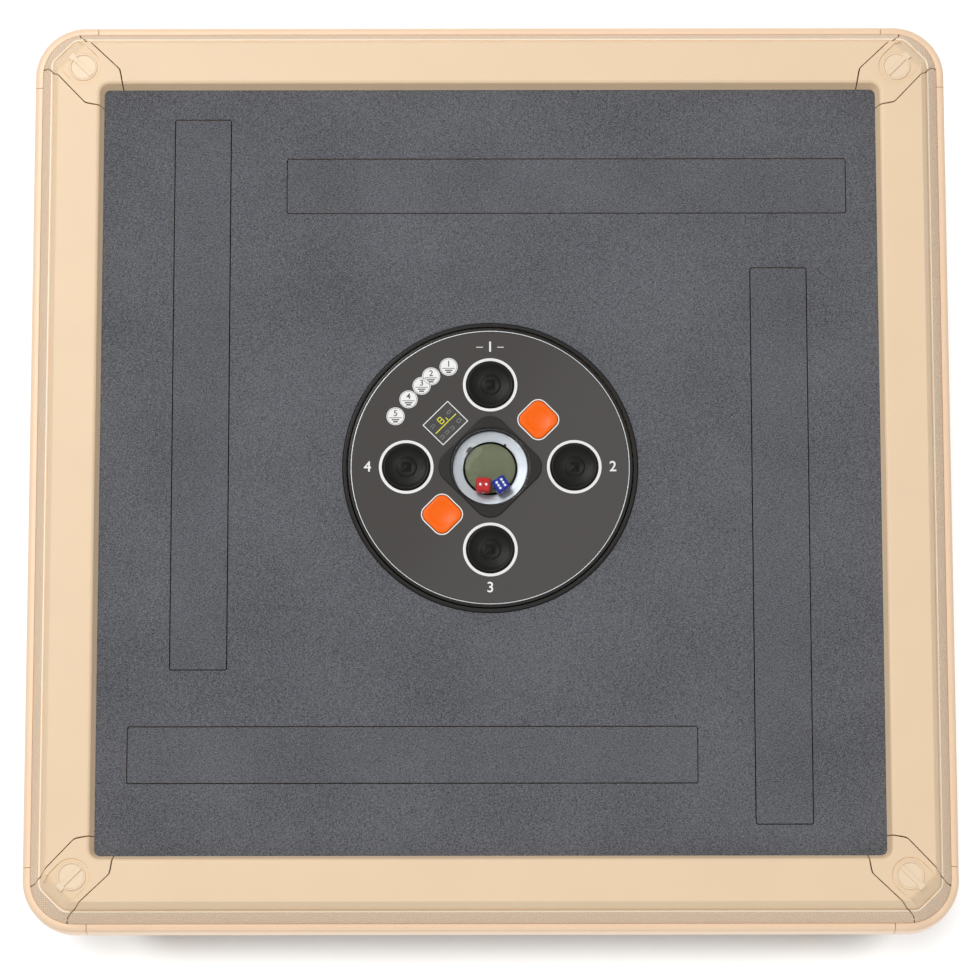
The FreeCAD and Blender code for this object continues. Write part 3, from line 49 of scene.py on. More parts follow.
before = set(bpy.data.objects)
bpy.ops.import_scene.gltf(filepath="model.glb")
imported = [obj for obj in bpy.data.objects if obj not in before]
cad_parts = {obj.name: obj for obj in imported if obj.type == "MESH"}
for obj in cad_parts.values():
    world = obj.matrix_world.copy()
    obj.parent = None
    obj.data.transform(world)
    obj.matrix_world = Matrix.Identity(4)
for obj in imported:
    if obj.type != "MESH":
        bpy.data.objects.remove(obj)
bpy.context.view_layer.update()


def tone(red: float, green: float, blue: float) -> Colour:
    """Turns a screen colour of 0 to 255 into the linear colour that a shader takes.

    Args:
        red: The red share, from 0 to 255.
        green: The green share.
        blue: The blue share.

    Returns:
        The linear red, green and blue, with full opacity.
    """
    shares = [value / 255 for value in (red, green, blue)]
    linear = [v / 12.92 if v <= 0.04045 else ((v + 0.055) / 1.055) ** 2.4 for v in shares]
    return (linear[0], linear[1], linear[2], 1.0)


def link(name: str, data: bpy.types.ID) -> Thing:
    """Puts data into the scene as a new object."""
    thing = bpy.data.objects.new(name, data)
    bpy.context.scene.collection.objects.link(thing)
    return thing


def evaluated(thing: Thing) -> bpy.types.Mesh:
    """Gives an object's mesh with its modifiers or its text worked out."""
    bpy.context.view_layer.update()
    seen = thing.evaluated_get(bpy.context.evaluated_depsgraph_get())
    return bpy.data.meshes.new_from_object(seen)


def quarter_point(x: float, y: float, quarter: int) -> Point:
    """Turns a place by quarters of a turn about the table's middle."""
    for _ in range(quarter):
        x, y = -y, x
    return (x, y)


def reach(at: Vector, middle: float) -> float:
    """Gives how far out a place is, square to the nearest side or corner of a round square."""
    x, y = abs(at.x) - middle, abs(at.y) - middle
    return middle + (math.hypot(x, y) if x > 0 and y > 0 else max(x, y))


def above(level: float) -> Test:
    """Gives a test for places above a level."""
    return lambda at: at.z > level


def pick(made: Sequence, kind: type) -> list:
    """Gives the elements of one kind among newly made ones."""
    return [item for item in made if isinstance(item, kind)]


def round_edges(bm: bmesh.types.BMesh, angle: float, width: float, segments: int, clamp: bool,
                where: Callable[[bmesh.types.BMEdge], bool]) -> None:
    """Rounds the sharp edges of a mesh.

    Args:
        bm: The mesh.
        angle: The least angle, in degrees, between the two faces of an edge.
        width: The width of the rounding.
        segments: Its steps.
        clamp: Whether two roundings keep clear of each other.
        where: Tells of an edge whether it is rounded.
    """
    limit = math.radians(angle)
    edges = [edge for edge in bm.edges if len(edge.link_faces) == 2
             and edge.calc_face_angle(0.0) > limit and where(edge)]
    bmesh.ops.bevel(bm, geom=edges, offset=width, segments=segments, profile=0.5,
                    affect="EDGES", material=-1, clamp_overlap=clamp)


def round_cuts(thing: Thing, angle: float, width: float, merge: float, where: Test,
               thin: float = 0.0) -> None:
    """Rounds the edges that cuts left sharp on an object. All sizes are in metres.

    Args:
        thing: The object.
        angle: The least angle, in degrees, between the two faces of an edge.
        width: The width of the rounding.
        merge: How near two vertices are that become one.
        where: Tells of each end of an edge whether it may be rounded.
        thin: How thin a face is that is taken out.
    """
    bm = bmesh.new()
    bm.from_mesh(thing.data)
    bmesh.ops.remove_doubles(bm, verts=list(bm.verts), dist=merge)
    if thin:
        bmesh.ops.dissolve_degenerate(bm, edges=list(bm.edges), dist=thin)
    round_edges(bm, angle, width, 2, False, lambda edge: all(where(v.co) for v in edge.verts))
    bm.to_mesh(thing.data)
    bm.free()


class Graph:
    """The node tree of a material or world, with short ways to add and join its nodes."""

    def __init__(self, owner: bpy.types.ID, output: str = "ShaderNodeOutputMaterial") -> None:
        """Starts an empty tree.

        Args:
            owner: The material or world.
            output: The kind of its last node.
        """
        owner.use_nodes = True
        self.tree = owner.node_tree
        self.tree.nodes.clear()
        self.output = self.tree.nodes.new(output)
        self.place = self.tree.nodes.new("ShaderNodeTexCoord").outputs["Object"]

    def node(self, kind: str, inputs: dict | None = None, **settings: object) -> bpy.types.Node:
        """Adds a node.

        Args:
            kind: The node's type name.
            inputs: Values or sockets for its inputs, by name or number.
            **settings: Its own options.

        Returns:
            The new node.
        """
        made = self.tree.nodes.new(kind)
        for key, value in settings.items():
            setattr(made, key, value)
        for key, value in (inputs or {}).items():
            self.feed(made.inputs[key], value)
        return made

    def feed(self, socket: Socket, value: object) -> None:
        """Joins a socket to another one, or sets its value."""
        if isinstance(value, Socket):
            self.tree.links.new(value, socket)
        else:
            socket.default_value = value

    def show(self, shader: bpy.types.Node) -> None:
        """Ends the tree with a shader."""
        self.feed(self.output.inputs["Surface"], shader.outputs[0])

    def sum(self, operation: str, one: object, two: object = 0.0) -> Socket:
        """Works out one step of arithmetic on two values or sockets."""
        return self.node("ShaderNodeMath", {0: one, 1: two}, operation=operation).outputs[0]

    def length(self, one: Socket, two: Socket) -> Socket:
        """Works out the diagonal over two values."""
        squares = [self.sum("MULTIPLY", value, value) for value in (one, two)]
        return self.sum("SQRT", self.sum("ADD", *squares))

    def split(self) -> tuple[Socket, ...]:
        """Gives the x, y and z of a place on the piece."""
        return tuple(self.node("ShaderNodeSeparateXYZ", {0: self.place}).outputs)

    def unsigned(self) -> list[Socket]:
        """Gives the x and the y of a place on the piece without their signs."""
        return [self.sum("ABSOLUTE", value) for value in self.split()[:2]]

    def stretched(self, x: float, y: float, z: float) -> Socket:
        """Gives the place on the piece, scaled along each axis."""
        return self.node("ShaderNodeMapping", {"Vector": self.place, "Scale": (x, y, z)}).outputs[0]

    def noise(self, scale: float, detail: float = 2.0, roughness: float = 0.5,
              vector: Socket | None = None) -> Socket:
        """Gives a smooth random value between 0 and 1.

        Args:
            scale: Waves per metre.
            detail: How many finer layers are added.
            roughness: The share of the finer layers.
            vector: Another place to read, if not the piece's own.

        Returns:
            The value's socket.
        """
        return self.node("ShaderNodeTexNoise", {
            "Vector": vector or self.place, "Scale": scale, "Detail": detail,
            "Roughness": roughness}).outputs["Fac"]

    def cells(self, scale: float) -> Socket:
        """Gives the distance to the nearest of many scattered points."""
        return self.node("ShaderNodeTexVoronoi", {
            "Vector": self.place, "Scale": scale}).outputs["Distance"]

    def span(self, value: Socket, low: float, high: float, start: float = 0.0,
             end: float = 1.0) -> Socket:
        """Stretches a value from one span to another and holds it at the ends."""
        return self.node("ShaderNodeMapRange", {
            "Value": value, "From Min": low, "From Max": high, "To Min": start,
            "To Max": end}).outputs[0]

    def mix(self, share: Socket, one: Colour, two: Colour) -> Socket:
        """Mixes two colours by a share."""
        return self.node("ShaderNodeMix", {0: share, 6: one, 7: two}, data_type="RGBA").outputs[2]

    def bump(self, height: Socket, distance: float, normal: Socket | None = None) -> Socket:
        """Turns a height into a surface direction.

        Args:
            height: The height's socket, between 0 and 1.
            distance: The full height in metres.
            normal: Another relief under this one.

        Returns:
            The normal's socket.
        """
        inputs = {"Height": height, "Distance": distance, "Strength": 1.0}
        if normal is not None:
            inputs["Normal"] = normal
        return self.node("ShaderNodeBump", inputs).outputs[0]


@dataclass(frozen=True)
class Finish:
    """A surface with a base colour, a gloss and a relief."""

    name: str
    colour: tuple[int, int, int]
    roughness: float = 0.5
    metallic: float = 0.0
    specular: float = 0.5
    coat: float = 0.0
    coat_roughness: float = 0.1
    sheen: float = 0.0
    mottle: float = 0.04
    mottle_scale: float = 18.0

    def shade(self, share: float) -> Colour:
        """Gives the base colour, darker or lighter by a share."""
        red, green, blue, _ = tone(*self.colour)
        return (min(red * share, 1.0), min(green * share, 1.0), min(blue * share, 1.0), 1.0)

    def tint(self, graph: Graph) -> Socket:
        """Gives the base colour with its slow, faint changes."""
        share = graph.span(graph.noise(self.mottle_scale, 3.0), 0.3, 0.7)
        return graph.mix(share, self.shade(1 - self.mottle), self.shade(1 + self.mottle))

    def gloss(self, graph: Graph) -> Socket:
        """Gives the roughness with its small changes."""
        smear = graph.noise(self.mottle_scale * 4, 4.0, 0.6)
        return graph.span(smear, 0.25, 0.75, self.roughness * 0.9, min(self.roughness * 1.1, 1.0))

    def relief(self, graph: Graph) -> Socket | None:
        """Gives the surface direction, or None where the surface is smooth."""
        return None

    def shader(self, graph: Graph) -> bpy.types.Node:
        """Gives the shader of the surface."""
        made = graph.node("ShaderNodeBsdfPrincipled", {
            "Base Color": self.tint(graph), "Roughness": self.gloss(graph),
            "Metallic": self.metallic, "Specular IOR Level": self.specular,
            "Coat Weight": self.coat, "Coat Roughness": self.coat_roughness,
            "Sheen Weight": self.sheen})
        relief = self.relief(graph)
        if relief is not None:
            graph.feed(made.inputs["Normal"], relief)
        return made

    def build(self) -> bpy.types.Material:
        """Makes the material, or gives the one made before."""
        made = bpy.data.materials.get(self.name)
        if made is None:
            made = bpy.data.materials.new(self.name)
            graph = Graph(made)
            graph.show(self.shader(graph))
        return made


@dataclass(frozen=True)
class MouldedPlastic(Finish):
    """Moulded plastic with a fine grain from its tool."""

    grain: float = 0.000012
    grain_scale: float = 1400.0

    def relief(self, graph: Graph) -> Socket:
        """Gives the fine grain over a faint waviness."""
        wave = graph.bump(graph.noise(40.0, 1.0), 0.00008)
        return graph.bump(graph.noise(self.grain_scale, 2.0, 0.6), self.grain, wave)


@dataclass(frozen=True)
class KnurledPlastic(MouldedPlastic):
    """Moulded plastic with small diamonds that stand in diagonal rows."""

    pitch: float = 0.0029
    depth: float = 0.0007
    middle: float = 0.431
    reach: float = 0.0405
    slope: float = 0.73
    # Painted shade between the diamonds and painted light on their tops, as shares of the base
    # colour.
    valley_shade: float = 0.8
    peak: float = 1.07

    def along(self, graph: Graph) -> tuple[Socket, Socket]:
        """Gives the way along the band, round its corners too, and the way down it."""
        wide, deep = graph.unsigned()
        past = [graph.sum("MAXIMUM", graph.sum("SUBTRACT", value, self.middle))
                for value in (deep, wide)]
        round_corner = graph.sum("MULTIPLY", graph.sum("ARCTAN2", *past), self.reach)
        straight = graph.sum("SUBTRACT", graph.sum("MINIMUM", deep, self.middle),
                             graph.sum("MINIMUM", wide, self.middle))
        return (graph.sum("ADD", straight, round_corner),
                graph.sum("MULTIPLY", graph.split()[2], self.slope))

    def diamonds(self, graph: Graph) -> Socket:
        """Gives the height of the diamonds, from 0 between them to 1 on top."""
        along, down = self.along(graph)
        rows = []
        for operation in ("ADD", "SUBTRACT"):
            turns = graph.sum("MULTIPLY", graph.sum(operation, along, down), math.pi / self.pitch)
            rows.append(graph.sum("ABSOLUTE", graph.sum("SINE", turns)))
        return graph.sum("MULTIPLY", *rows)

    def tint(self, graph: Graph) -> Socket:
        """Gives the base colour with painted shade between the diamonds and painted light on their
        tops.
        """
        share = graph.span(self.diamonds(graph), 0.05, 0.6)
        return graph.mix(share, self.shade(self.valley_shade), self.shade(self.peak))

    def relief(self, graph: Graph) -> Socket:
        """Gives the raised diamonds."""
        return graph.bump(self.diamonds(graph), self.depth)


@dataclass(frozen=True)
class TurnedPlastic(MouldedPlastic):
    """Moulded plastic with fine rings about the middle of each of four round keys."""

    place: float = 0.088
    pitch: float = 0.0011
    depth: float = 0.000025

    def relief(self, graph: Graph) -> Socket:
        """Gives the fine rings over the grain."""
        wide, deep = graph.unsigned()
        out = graph.sum("SUBTRACT", graph.sum("MAXIMUM", wide, deep), self.place)
        radius = graph.length(out, graph.sum("MINIMUM", wide, deep))
        rings = graph.sum("SINE", graph.sum("MULTIPLY", radius, math.tau / self.pitch))
        return graph.bump(rings, self.depth, super().relief(graph))


@dataclass(frozen=True)
class FeltCloth(Finish):
    """Short felt with fibres of two tones."""

    light: tuple[int, int, int] = (127, 129, 135)
    dark: tuple[int, int, int] = (44, 44, 49)

    def tint(self, graph: Graph) -> Socket:
        """Gives the speckle of dark and light fibres over slow, faint clouds."""
        fine = graph.span(graph.noise(1150.0, 1.0, 0.5), 0.34, 0.68)
        fibre = graph.span(graph.noise(420.0, 3.0, 0.65, graph.stretched(1.0, 2.6, 1.0)),
                           0.36, 0.64)
        speck = graph.sum("ADD", graph.sum("MULTIPLY", fine, 0.6),
                          graph.sum("MULTIPLY", fibre, 0.4))
        cloud = graph.span(graph.noise(9.0, 2.0), 0.3, 0.7, -0.06, 0.06)
        return graph.mix(graph.sum("ADD", speck, cloud), tone(*self.dark), tone(*self.light))

    def relief(self, graph: Graph) -> Socket:
        """Gives the nap of the fibres."""
        tuft = graph.bump(graph.noise(420.0, 3.0, 0.7), 0.0003)
        return graph.bump(graph.noise(1500.0, 2.0, 0.7), 0.0002, tuft)


@dataclass(frozen=True)
class GlossPanel(Finish):
    """A dark printed panel under a clear gloss."""

    dust: float = 0.07

    def tint(self, graph: Graph) -> Socket:
        """Gives the print's colour with a fine, faint grain."""
        share = graph.span(graph.noise(900.0, 3.0, 0.7), 0.3, 0.7)
        return graph.mix(share, self.shade(1 - self.dust), self.shade(1 + self.dust))


class Brushing(Enum):
    """The way in which a metal surface was brushed."""

    ROUND = "round"
    UPRIGHT = "upright"
    NONE = "none"


@dataclass(frozen=True)
class Metal(Finish):
    """Bare or plated metal with the fine lines of its brushing."""

    metallic: float = 1.0
    brushing: Brushing = Brushing.NONE
    line: float = 0.000004

    def lines(self, graph: Graph) -> Socket:
        """Gives the height of the fine lines."""
        if self.brushing is Brushing.UPRIGHT:
            return graph.noise(900.0, 3.0, 0.6, graph.stretched(1.0, 1.0, 0.02))
        if self.brushing is Brushing.ROUND:
            x, y, z = graph.split()
            ring = graph.node("ShaderNodeCombineXYZ", {0: graph.length(x, y), 2: z})
            return graph.noise(1600.0, 3.0, 0.6, ring.outputs[0])
        return graph.noise(500.0, 4.0, 0.65)

    def gloss(self, graph: Graph) -> Socket:
        """Gives the roughness that follows the fine lines."""
        return graph.span(self.lines(graph), 0.3, 0.7, self.roughness * 0.8,
                          min(self.roughness * 1.25, 1.0))

    def relief(self, graph: Graph) -> Socket:
        """Gives the fine lines as relief."""
        return graph.bump(self.lines(graph), self.line)


@dataclass(frozen=True)
class PowderCoat(Finish):
    """Baked powder paint with a faint orange peel."""

    peel: float = 0.00003

    def relief(self, graph: Graph) -> Socket:
        """Gives the orange peel."""
        return graph.bump(graph.noise(320.0, 2.0, 0.5), self.peel)


@dataclass(frozen=True)
class LacqueredWood(Finish):
    """Pale lacquered wood with its grain upright."""

    pore: float = 0.00003

    def tint(self, graph: Graph) -> Socket:
        """Gives the stripes of the grain."""
        grain = graph.noise(60.0, 5.0, 0.6, graph.stretched(1.0, 1.0, 0.06))
        return graph.mix(graph.span(grain, 0.3, 0.7), self.shade(0.86), self.shade(1.06))

    def relief(self, graph: Graph) -> Socket:
        """Gives the pores under the lacquer."""
        return graph.bump(graph.noise(240.0, 4.0, 0.7, graph.stretched(1.0, 1.0, 0.05)), self.pore)


@dataclass(frozen=True)
class Rubber(Finish):
    """Dull rubber with a little dust."""

    dust: tuple[int, int, int] = (96, 92, 86)
    pit: float = 0.00004

    def tint(self, graph: Graph) -> Socket:
        """Gives the black rubber with pale dust in patches."""
        share = graph.span(graph.noise(60.0, 5.0, 0.7), 0.5, 0.8, 0.0, 0.35)
        return graph.mix(share, self.shade(1.0), tone(*self.dust))

    def relief(self, graph: Graph) -> Socket:
        """Gives the pitted surface."""
        return graph.bump(graph.cells(900.0), self.pit)


@dataclass(frozen=True)
class CircuitCard(Finish):
    """A green circuit card with fine copper tracks."""

    def tint(self, graph: Graph) -> Socket:
        """Gives the green mask with paler tracks under it."""
        track = graph.node("ShaderNodeTexBrick", {
            "Vector": graph.place, "Scale": 90.0, "Mortar Size": 0.06, "Brick Width": 0.9,
            "Row Height": 0.3}).outputs["Fac"]
        return graph.mix(track, self.shade(1.0), self.shade(1.9))


@dataclass(frozen=True)
class ClearAcrylic(Finish):
    """Clear moulded acrylic that lets light and shadow rays through."""

    index: float = 1.1

    def shader(self, graph: Graph) -> bpy.types.Node:
        """Gives the clear shader, which is plain see-through for shadow and diffuse rays."""
        haze = graph.span(graph.noise(300.0, 3.0), 0.3, 0.7, 0.0, 0.03)
        glass = graph.node("ShaderNodeBsdfPrincipled", {
            "Base Color": tone(*self.colour), "Roughness": haze, "IOR": self.index,
            "Transmission Weight": 1.0, "Specular IOR Level": self.specular})
        clear = graph.node("ShaderNodeBsdfTransparent", {"Color": tone(*self.colour)})
        path = graph.node("ShaderNodeLightPath")
        through = graph.sum("MAXIMUM", path.outputs["Is Shadow Ray"],
                            path.outputs["Is Diffuse Ray"])
        return graph.node("ShaderNodeMixShader", {0: through, 1: glass.outputs[0],
                                                  2: clear.outputs[0]})


RIM = MouldedPlastic("rim_satin", (238, 211, 177), roughness=0.42, specular=0.3, mottle=0.012)
KNURL = KnurledPlastic("rim_knurl", (247, 220, 191), roughness=0.5)
# The bead's lighter colour is a painted highlight along the crest between the groove and the knurl.
BEAD_HIGHLIGHT = MouldedPlastic("rim_bead_painted_highlight", (255, 243, 222), roughness=0.35, specular=0.5, mottle=0.0)
# A darkened copy of the rim's colour: painted shade for the backing seen through the seams.
SEAM_SHADE_BROWN = MouldedPlastic("seam_shade_brown", (104, 76, 52), roughness=0.6)
TRIM = MouldedPlastic("edge_trim_satin", (247, 216, 184), roughness=0.4, mottle=0.012)
CAP = MouldedPlastic("bolt_cap_satin", (238, 215, 185), roughness=0.42, mottle=0.012)
FELT = FeltCloth("playfield_felt_grey", (94, 95, 102), roughness=0.95, sheen=0.15, specular=0.2)
DECK_FELT = FeltCloth("deck_felt_grey", (94, 95, 102), roughness=0.95, sheen=0.15, specular=0.2)
GLOSS_BLACK = MouldedPlastic("gloss_black", (22, 21, 19), roughness=0.2, specular=0.2,
                             grain=0.000003)
SEAT_BLACK = MouldedPlastic("satin_black", (22, 20, 18), roughness=0.34, specular=0.18,
                            grain=0.000006)
KEY_BLACK = TurnedPlastic("key_black", (15, 14, 12), roughness=0.3, specular=0.12,
                          grain=0.000004)
PANEL = GlossPanel("panel_graphite", (70, 67, 65), roughness=0.08, specular=0.25)
INK_WHITE = MouldedPlastic("ink_white", (236, 236, 236), roughness=0.4, mottle=0.02)
INK_DARK = MouldedPlastic("ink_dark", (58, 56, 54), roughness=0.4)
ORANGE = MouldedPlastic("key_orange", (255, 105, 5), roughness=0.28, specular=0.15,
                        grain=0.000003)
RING_SILVER = Metal("ring_silver", (150, 151, 153), roughness=0.34, brushing=Brushing.ROUND)
BOWL_SILVER = Metal("bowl_silver", (188, 190, 196), roughness=0.45, metallic=0.25,
                    brushing=Brushing.ROUND)
PLATE_OLIVE = MouldedPlastic("plate_olive", (106, 110, 84), roughness=0.5, mottle=0.12,
                             specular=0.2, mottle_scale=240.0)
ACRYLIC = ClearAcrylic("dome_acrylic", (250, 252, 252), roughness=0.02, specular=0.12)
DIE_RED = MouldedPlastic("die_red", (196, 14, 14), roughness=0.2, specular=0.25, grain=0.000002)
DIE_BLUE = MouldedPlastic("die_blue", (12, 36, 150), roughness=0.2, specular=0.25, grain=0.000002)
PIP_WHITE = MouldedPlastic("pip_white", (240, 240, 238), roughness=0.35)
SCREEN = GlossPanel("display_glass", (38, 38, 37), roughness=0.08, coat=0.6, coat_roughness=0.02)
LCD_YELLOW = MouldedPlastic("display_yellow", (240, 232, 20), roughness=0.5)
LCD_GREY = MouldedPlastic("display_grey", (118, 118, 114), roughness=0.5)
BOARD = LacqueredWood("playfield_board_fibre", (150, 118, 84), roughness=0.6)
NYLON = MouldedPlastic("nylon_white", (222, 220, 212), roughness=0.45)
STEEL = Metal("zinc_steel", (178, 180, 182), roughness=0.34)
ALUMINIUM = Metal("column_aluminium", (190, 192, 195), roughness=0.3, brushing=Brushing.UPRIGHT)
COAT = PowderCoat("guide_powder_coat", (196, 184, 168), roughness=0.5)
COVER = MouldedPlastic("cover_satin", (228, 204, 174), roughness=0.46, mottle=0.015)
LEG = LacqueredWood("leg_beech", (222, 196, 164), roughness=0.35, coat=0.25)
MOTOR = PowderCoat("motor_enamel", (44, 45, 48), roughness=0.3, coat=0.2)
TYRE = Rubber("rubber_black", (32, 31, 30), roughness=0.8)
CARD = CircuitCard("control_card_green", (24, 84, 46), roughness=0.35, coat=0.3)
DISC = MouldedPlastic("mixing_disc_grey", (70, 70, 72), roughness=0.5)


class Shape:
    """A mesh in the making, in millimetres, that ends as a named piece of the table."""

    def __init__(self) -> None:
        """Starts with an empty mesh."""
        self.bm = bmesh.new()

    def lathe(self, profile: Sequence[Point], steps: int = 96, level: float = 0.0) -> "Shape":
        """Turns a profile about the z axis.

        Args:
            profile: Radius and height of each corner, from the inside round to the outside. It
                closes on itself unless both its ends stand on the axis.
            steps: The steps of a full turn.
            level: The level that the heights are measured from.

        Returns:
            The shape itself.
        """
        line = [self.bm.verts.new((radius, 0.0, level + z)) for radius, z in profile]
        edges = [self.bm.edges.new(pair) for pair in zip(line, line[1:])]
        if profile[0][0] > 0 or profile[-1][0] > 0:
            edges.append(self.bm.edges.new((line[-1], line[0])))
        bmesh.ops.spin(self.bm, geom=line + edges, cent=(0, 0, 0), axis=(0, 0, 1),
                       angle=math.tau, steps=steps, use_merge=True)
        return self.clean()

    def sweep(self, profile: Sequence[Point], middle: float, steps: int = 16) -> "Shape":
        """Carries an open profile round a square whose corners turn about fixed middles.

        Args:
            profile: Reach from the table's middle and height of each corner.
            middle: The x and y of each corner's turning point.
            steps: The steps of each corner.

        Returns:
            The shape itself.
        """
        line = [self.bm.verts.new((out, -middle, z)) for out, z in profile]
        last = [self.bm.edges.new(pair) for pair in zip(line, line[1:])]
        for quarter in range(4):
            turn = Matrix.Rotation(quarter * math.pi / 2, 3, "Z")
            made = bmesh.ops.extrude_edge_only(self.bm, edges=last)["geom"]
            verts = pick(made, bmesh.types.BMVert)
            bmesh.ops.translate(self.bm, verts=verts, vec=turn @ Vector((0, 2 * middle, 0)))
            edges = [edge for edge in pick(made, bmesh.types.BMEdge)
                     if all(v in verts for v in edge.verts)]
            spun = bmesh.ops.spin(self.bm, geom=verts + edges, axis=(0, 0, 1),
                                  cent=turn @ Vector((middle, middle, 0)),
                                  angle=math.pi / 2, steps=steps)["geom_last"]
            last = pick(spun, bmesh.types.BMEdge)
        return self

    def outline(self, points: Sequence[Place]) -> "Shape":
        """Adds one face through points."""
        self.bm.faces.new([self.bm.verts.new(point) for point in points])
        return self

    def circle(self, radius: float, z: float = 0.0, centre: Point = (0.0, 0.0),
               steps: int = 96) -> list:
        """Draws a circle and gives its vertices."""
        place = Matrix.Translation((*centre, z))
        return bmesh.ops.create_circle(self.bm, segments=steps, radius=radius,
                                       matrix=place)["verts"]

    def rounded(self, half_x: float, half_y: float, radius: float, z: float = 0.0,
                centre: Point = (0.0, 0.0), turn: float = 0.0, steps: int = 12) -> list:
        """Draws a rectangle with round corners.

        Args:
            half_x: Half its length.
            half_y: Half its width.
            radius: The radius of its corners.
            z: Its height.
            centre: Its middle.
            turn: Its turn in degrees.
            steps: The steps of each corner.

        Returns:
            Its vertices.
        """
        drawn = Shape().outline([(x, y, z) for x, y in (
            (half_x, half_y), (-half_x, half_y), (-half_x, -half_y), (half_x, -half_y))])
        bmesh.ops.bevel(drawn.bm, geom=list(drawn.bm.verts), offset=radius, segments=steps,
                        profile=0.5, affect="VERTICES", material=-1, clamp_overlap=False)
        bmesh.ops.delete(drawn.bm, geom=list(drawn.bm.faces), context="FACES_ONLY")
        before = set(self.bm.verts)
        self.join(drawn.move(*centre, 0.0, turn))
        return [vert for vert in self.bm.verts if vert not in before]

    def join(self, other: "Shape") -> "Shape":
        """Adds another shape to this one and frees it."""
        mesh = bpy.data.meshes.new("taken")
        other.bm.to_mesh(mesh)
        other.bm.free()
        self.bm.from_mesh(mesh)
        bpy.data.meshes.remove(mesh)
        return self

    def fill(self) -> "Shape":
        """Fills the drawn outlines, with the ones inside others as holes."""
        edges = [edge for edge in self.bm.edges if not edge.link_faces]
        bmesh.ops.triangle_fill(self.bm, edges=edges, use_beauty=True)
        bmesh.ops.dissolve_limit(self.bm, angle_limit=0.01, verts=list(self.bm.verts),
                                 edges=list(self.bm.edges))
        return self

    def thicken(self, height: float, way: Place = (0.0, 0.0, 1.0)) -> "Shape":
        """Draws the faces out to a body of a given height."""
        made = bmesh.ops.extrude_face_region(self.bm, geom=list(self.bm.faces))["geom"]
        bmesh.ops.translate(self.bm, verts=pick(made, bmesh.types.BMVert),
                            vec=Vector(way) * height)
        return self.clean()

    def block(self, size: Place, middle: Place) -> "Shape":
        """Adds a box of a given size about its middle."""
        place = Matrix.Translation(middle) @ Matrix.Diagonal((*size, 1.0))
        bmesh.ops.create_cube(self.bm, size=1.0, matrix=place)
        return self

    def bars(self, places: Sequence[Bar], thick: float, z: float) -> "Shape":
        """Adds flat bars, each given by the x and y of its middle, its length and its width."""
        for x, y, length, width in places:
            self.block((length, width, thick), (x, y, z))
        return self

    def ball(self, radius: float, middle: Place, flat: float) -> "Shape":
        """Adds a small ball, flattened along z by a share."""
        place = Matrix.Translation(middle) @ Matrix.Diagonal((1.0, 1.0, flat, 1.0))
        bmesh.ops.create_uvsphere(self.bm, u_segments=20, v_segments=10, radius=radius,
                                  matrix=place)
        return self

    def soften(self, width: float, segments: int = 2, angle: float = 25.0,
               where: Test | None = None) -> "Shape":
        """Rounds the sharp edges.

        Args:
            width: The width of the rounding.
            segments: Its steps.
            angle: The least angle, in degrees, between the faces of an edge.
            where: Tells by an edge's middle whether it is rounded.

        Returns:
            The shape itself.
        """
        round_edges(self.bm, angle, width, segments, True, lambda edge: where is None
                    or where((edge.verts[0].co + edge.verts[1].co) / 2))
        return self

    def clean(self) -> "Shape":
        """Merges doubled vertices and turns all faces outwards."""
        bmesh.ops.remove_doubles(self.bm, verts=list(self.bm.verts), dist=0.01)
        bmesh.ops.recalc_face_normals(self.bm, faces=list(self.bm.faces))
        return self

    def transform(self, place: Matrix) -> "Shape":
        """Moves and turns the shape by a matrix."""
        bmesh.ops.transform(self.bm, matrix=place, verts=list(self.bm.verts))
        return self

    def move(self, x: float = 0.0, y: float = 0.0, z: float = 0.0, turn: float = 0.0) -> "Shape":
        """Turns the shape about the z axis and then moves it."""
        turned = Matrix.Rotation(math.radians(turn), 4, "Z")
        return self.transform(Matrix.Translation((x, y, z)) @ turned)

    def paint(self, index: int, where: Test | None = None) -> "Shape":
        """Gives the faces whose middle fits a test the finish of that number."""
        for face in self.bm.faces:
            if where is None or where(face.calc_center_median()):
                face.material_index = index
        return self

    def object(self, name: str) -> Thing:
        """Gives the shape as a plain object in the scene, in metres."""
        bmesh.ops.scale(self.bm, vec=(MM, MM, MM), verts=list(self.bm.verts))
        mesh = bpy.data.meshes.new(name)
        self.bm.to_mesh(mesh)
        self.bm.free()
        return link(name, mesh)

    def piece(self, name: str, body: str, *finishes: Finish, slot: str,
              replaces: Sequence[str] = (), smooth: float = 35.0) -> Thing:
        """Ends the shape as a piece of the table. For the arguments, see publish."""
        return publish(self.object(name), body, finishes, slot, replaces, smooth)


def publish(thing: Thing, body: str, finishes: Sequence[Finish], slot: str,
            replaces: Sequence[str] = (), smooth: float = 35.0) -> Thing:
    """Dresses an object and puts it on its body.

    Args:
        thing: The object.
        body: The body that it rides on.
        finishes: Its finishes, in the order of their numbers.
        slot: The name of a material slot; not used.
        replaces: The nodes that it stands for.
        smooth: Edges under this angle, in degrees, are shaded smooth.

    Returns:
        The same object.
    """
    slots = thing.data.materials
    for index, finish in enumerate(finishes):
        if index < len(slots):
            slots[index] = finish.build()
        else:
            slots.append(finish.build())
    thing.data.shade_smooth()
    thing.data.set_sharp_from_angle(angle=math.radians(smooth))
    even_faces(thing)
    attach(thing, body)
    if replaces:
        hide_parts(*replaces)
    LOG.info("%s: %d faces", thing.name, len(thing.data.polygons))
    return thing


def even_faces(thing: Thing) -> None:
    """Weighs an object's shading by the size of its faces."""
    even = thing.modifiers.new("even_faces", "WEIGHTED_NORMAL")
    even.keep_sharp = True
    even.weight = 100


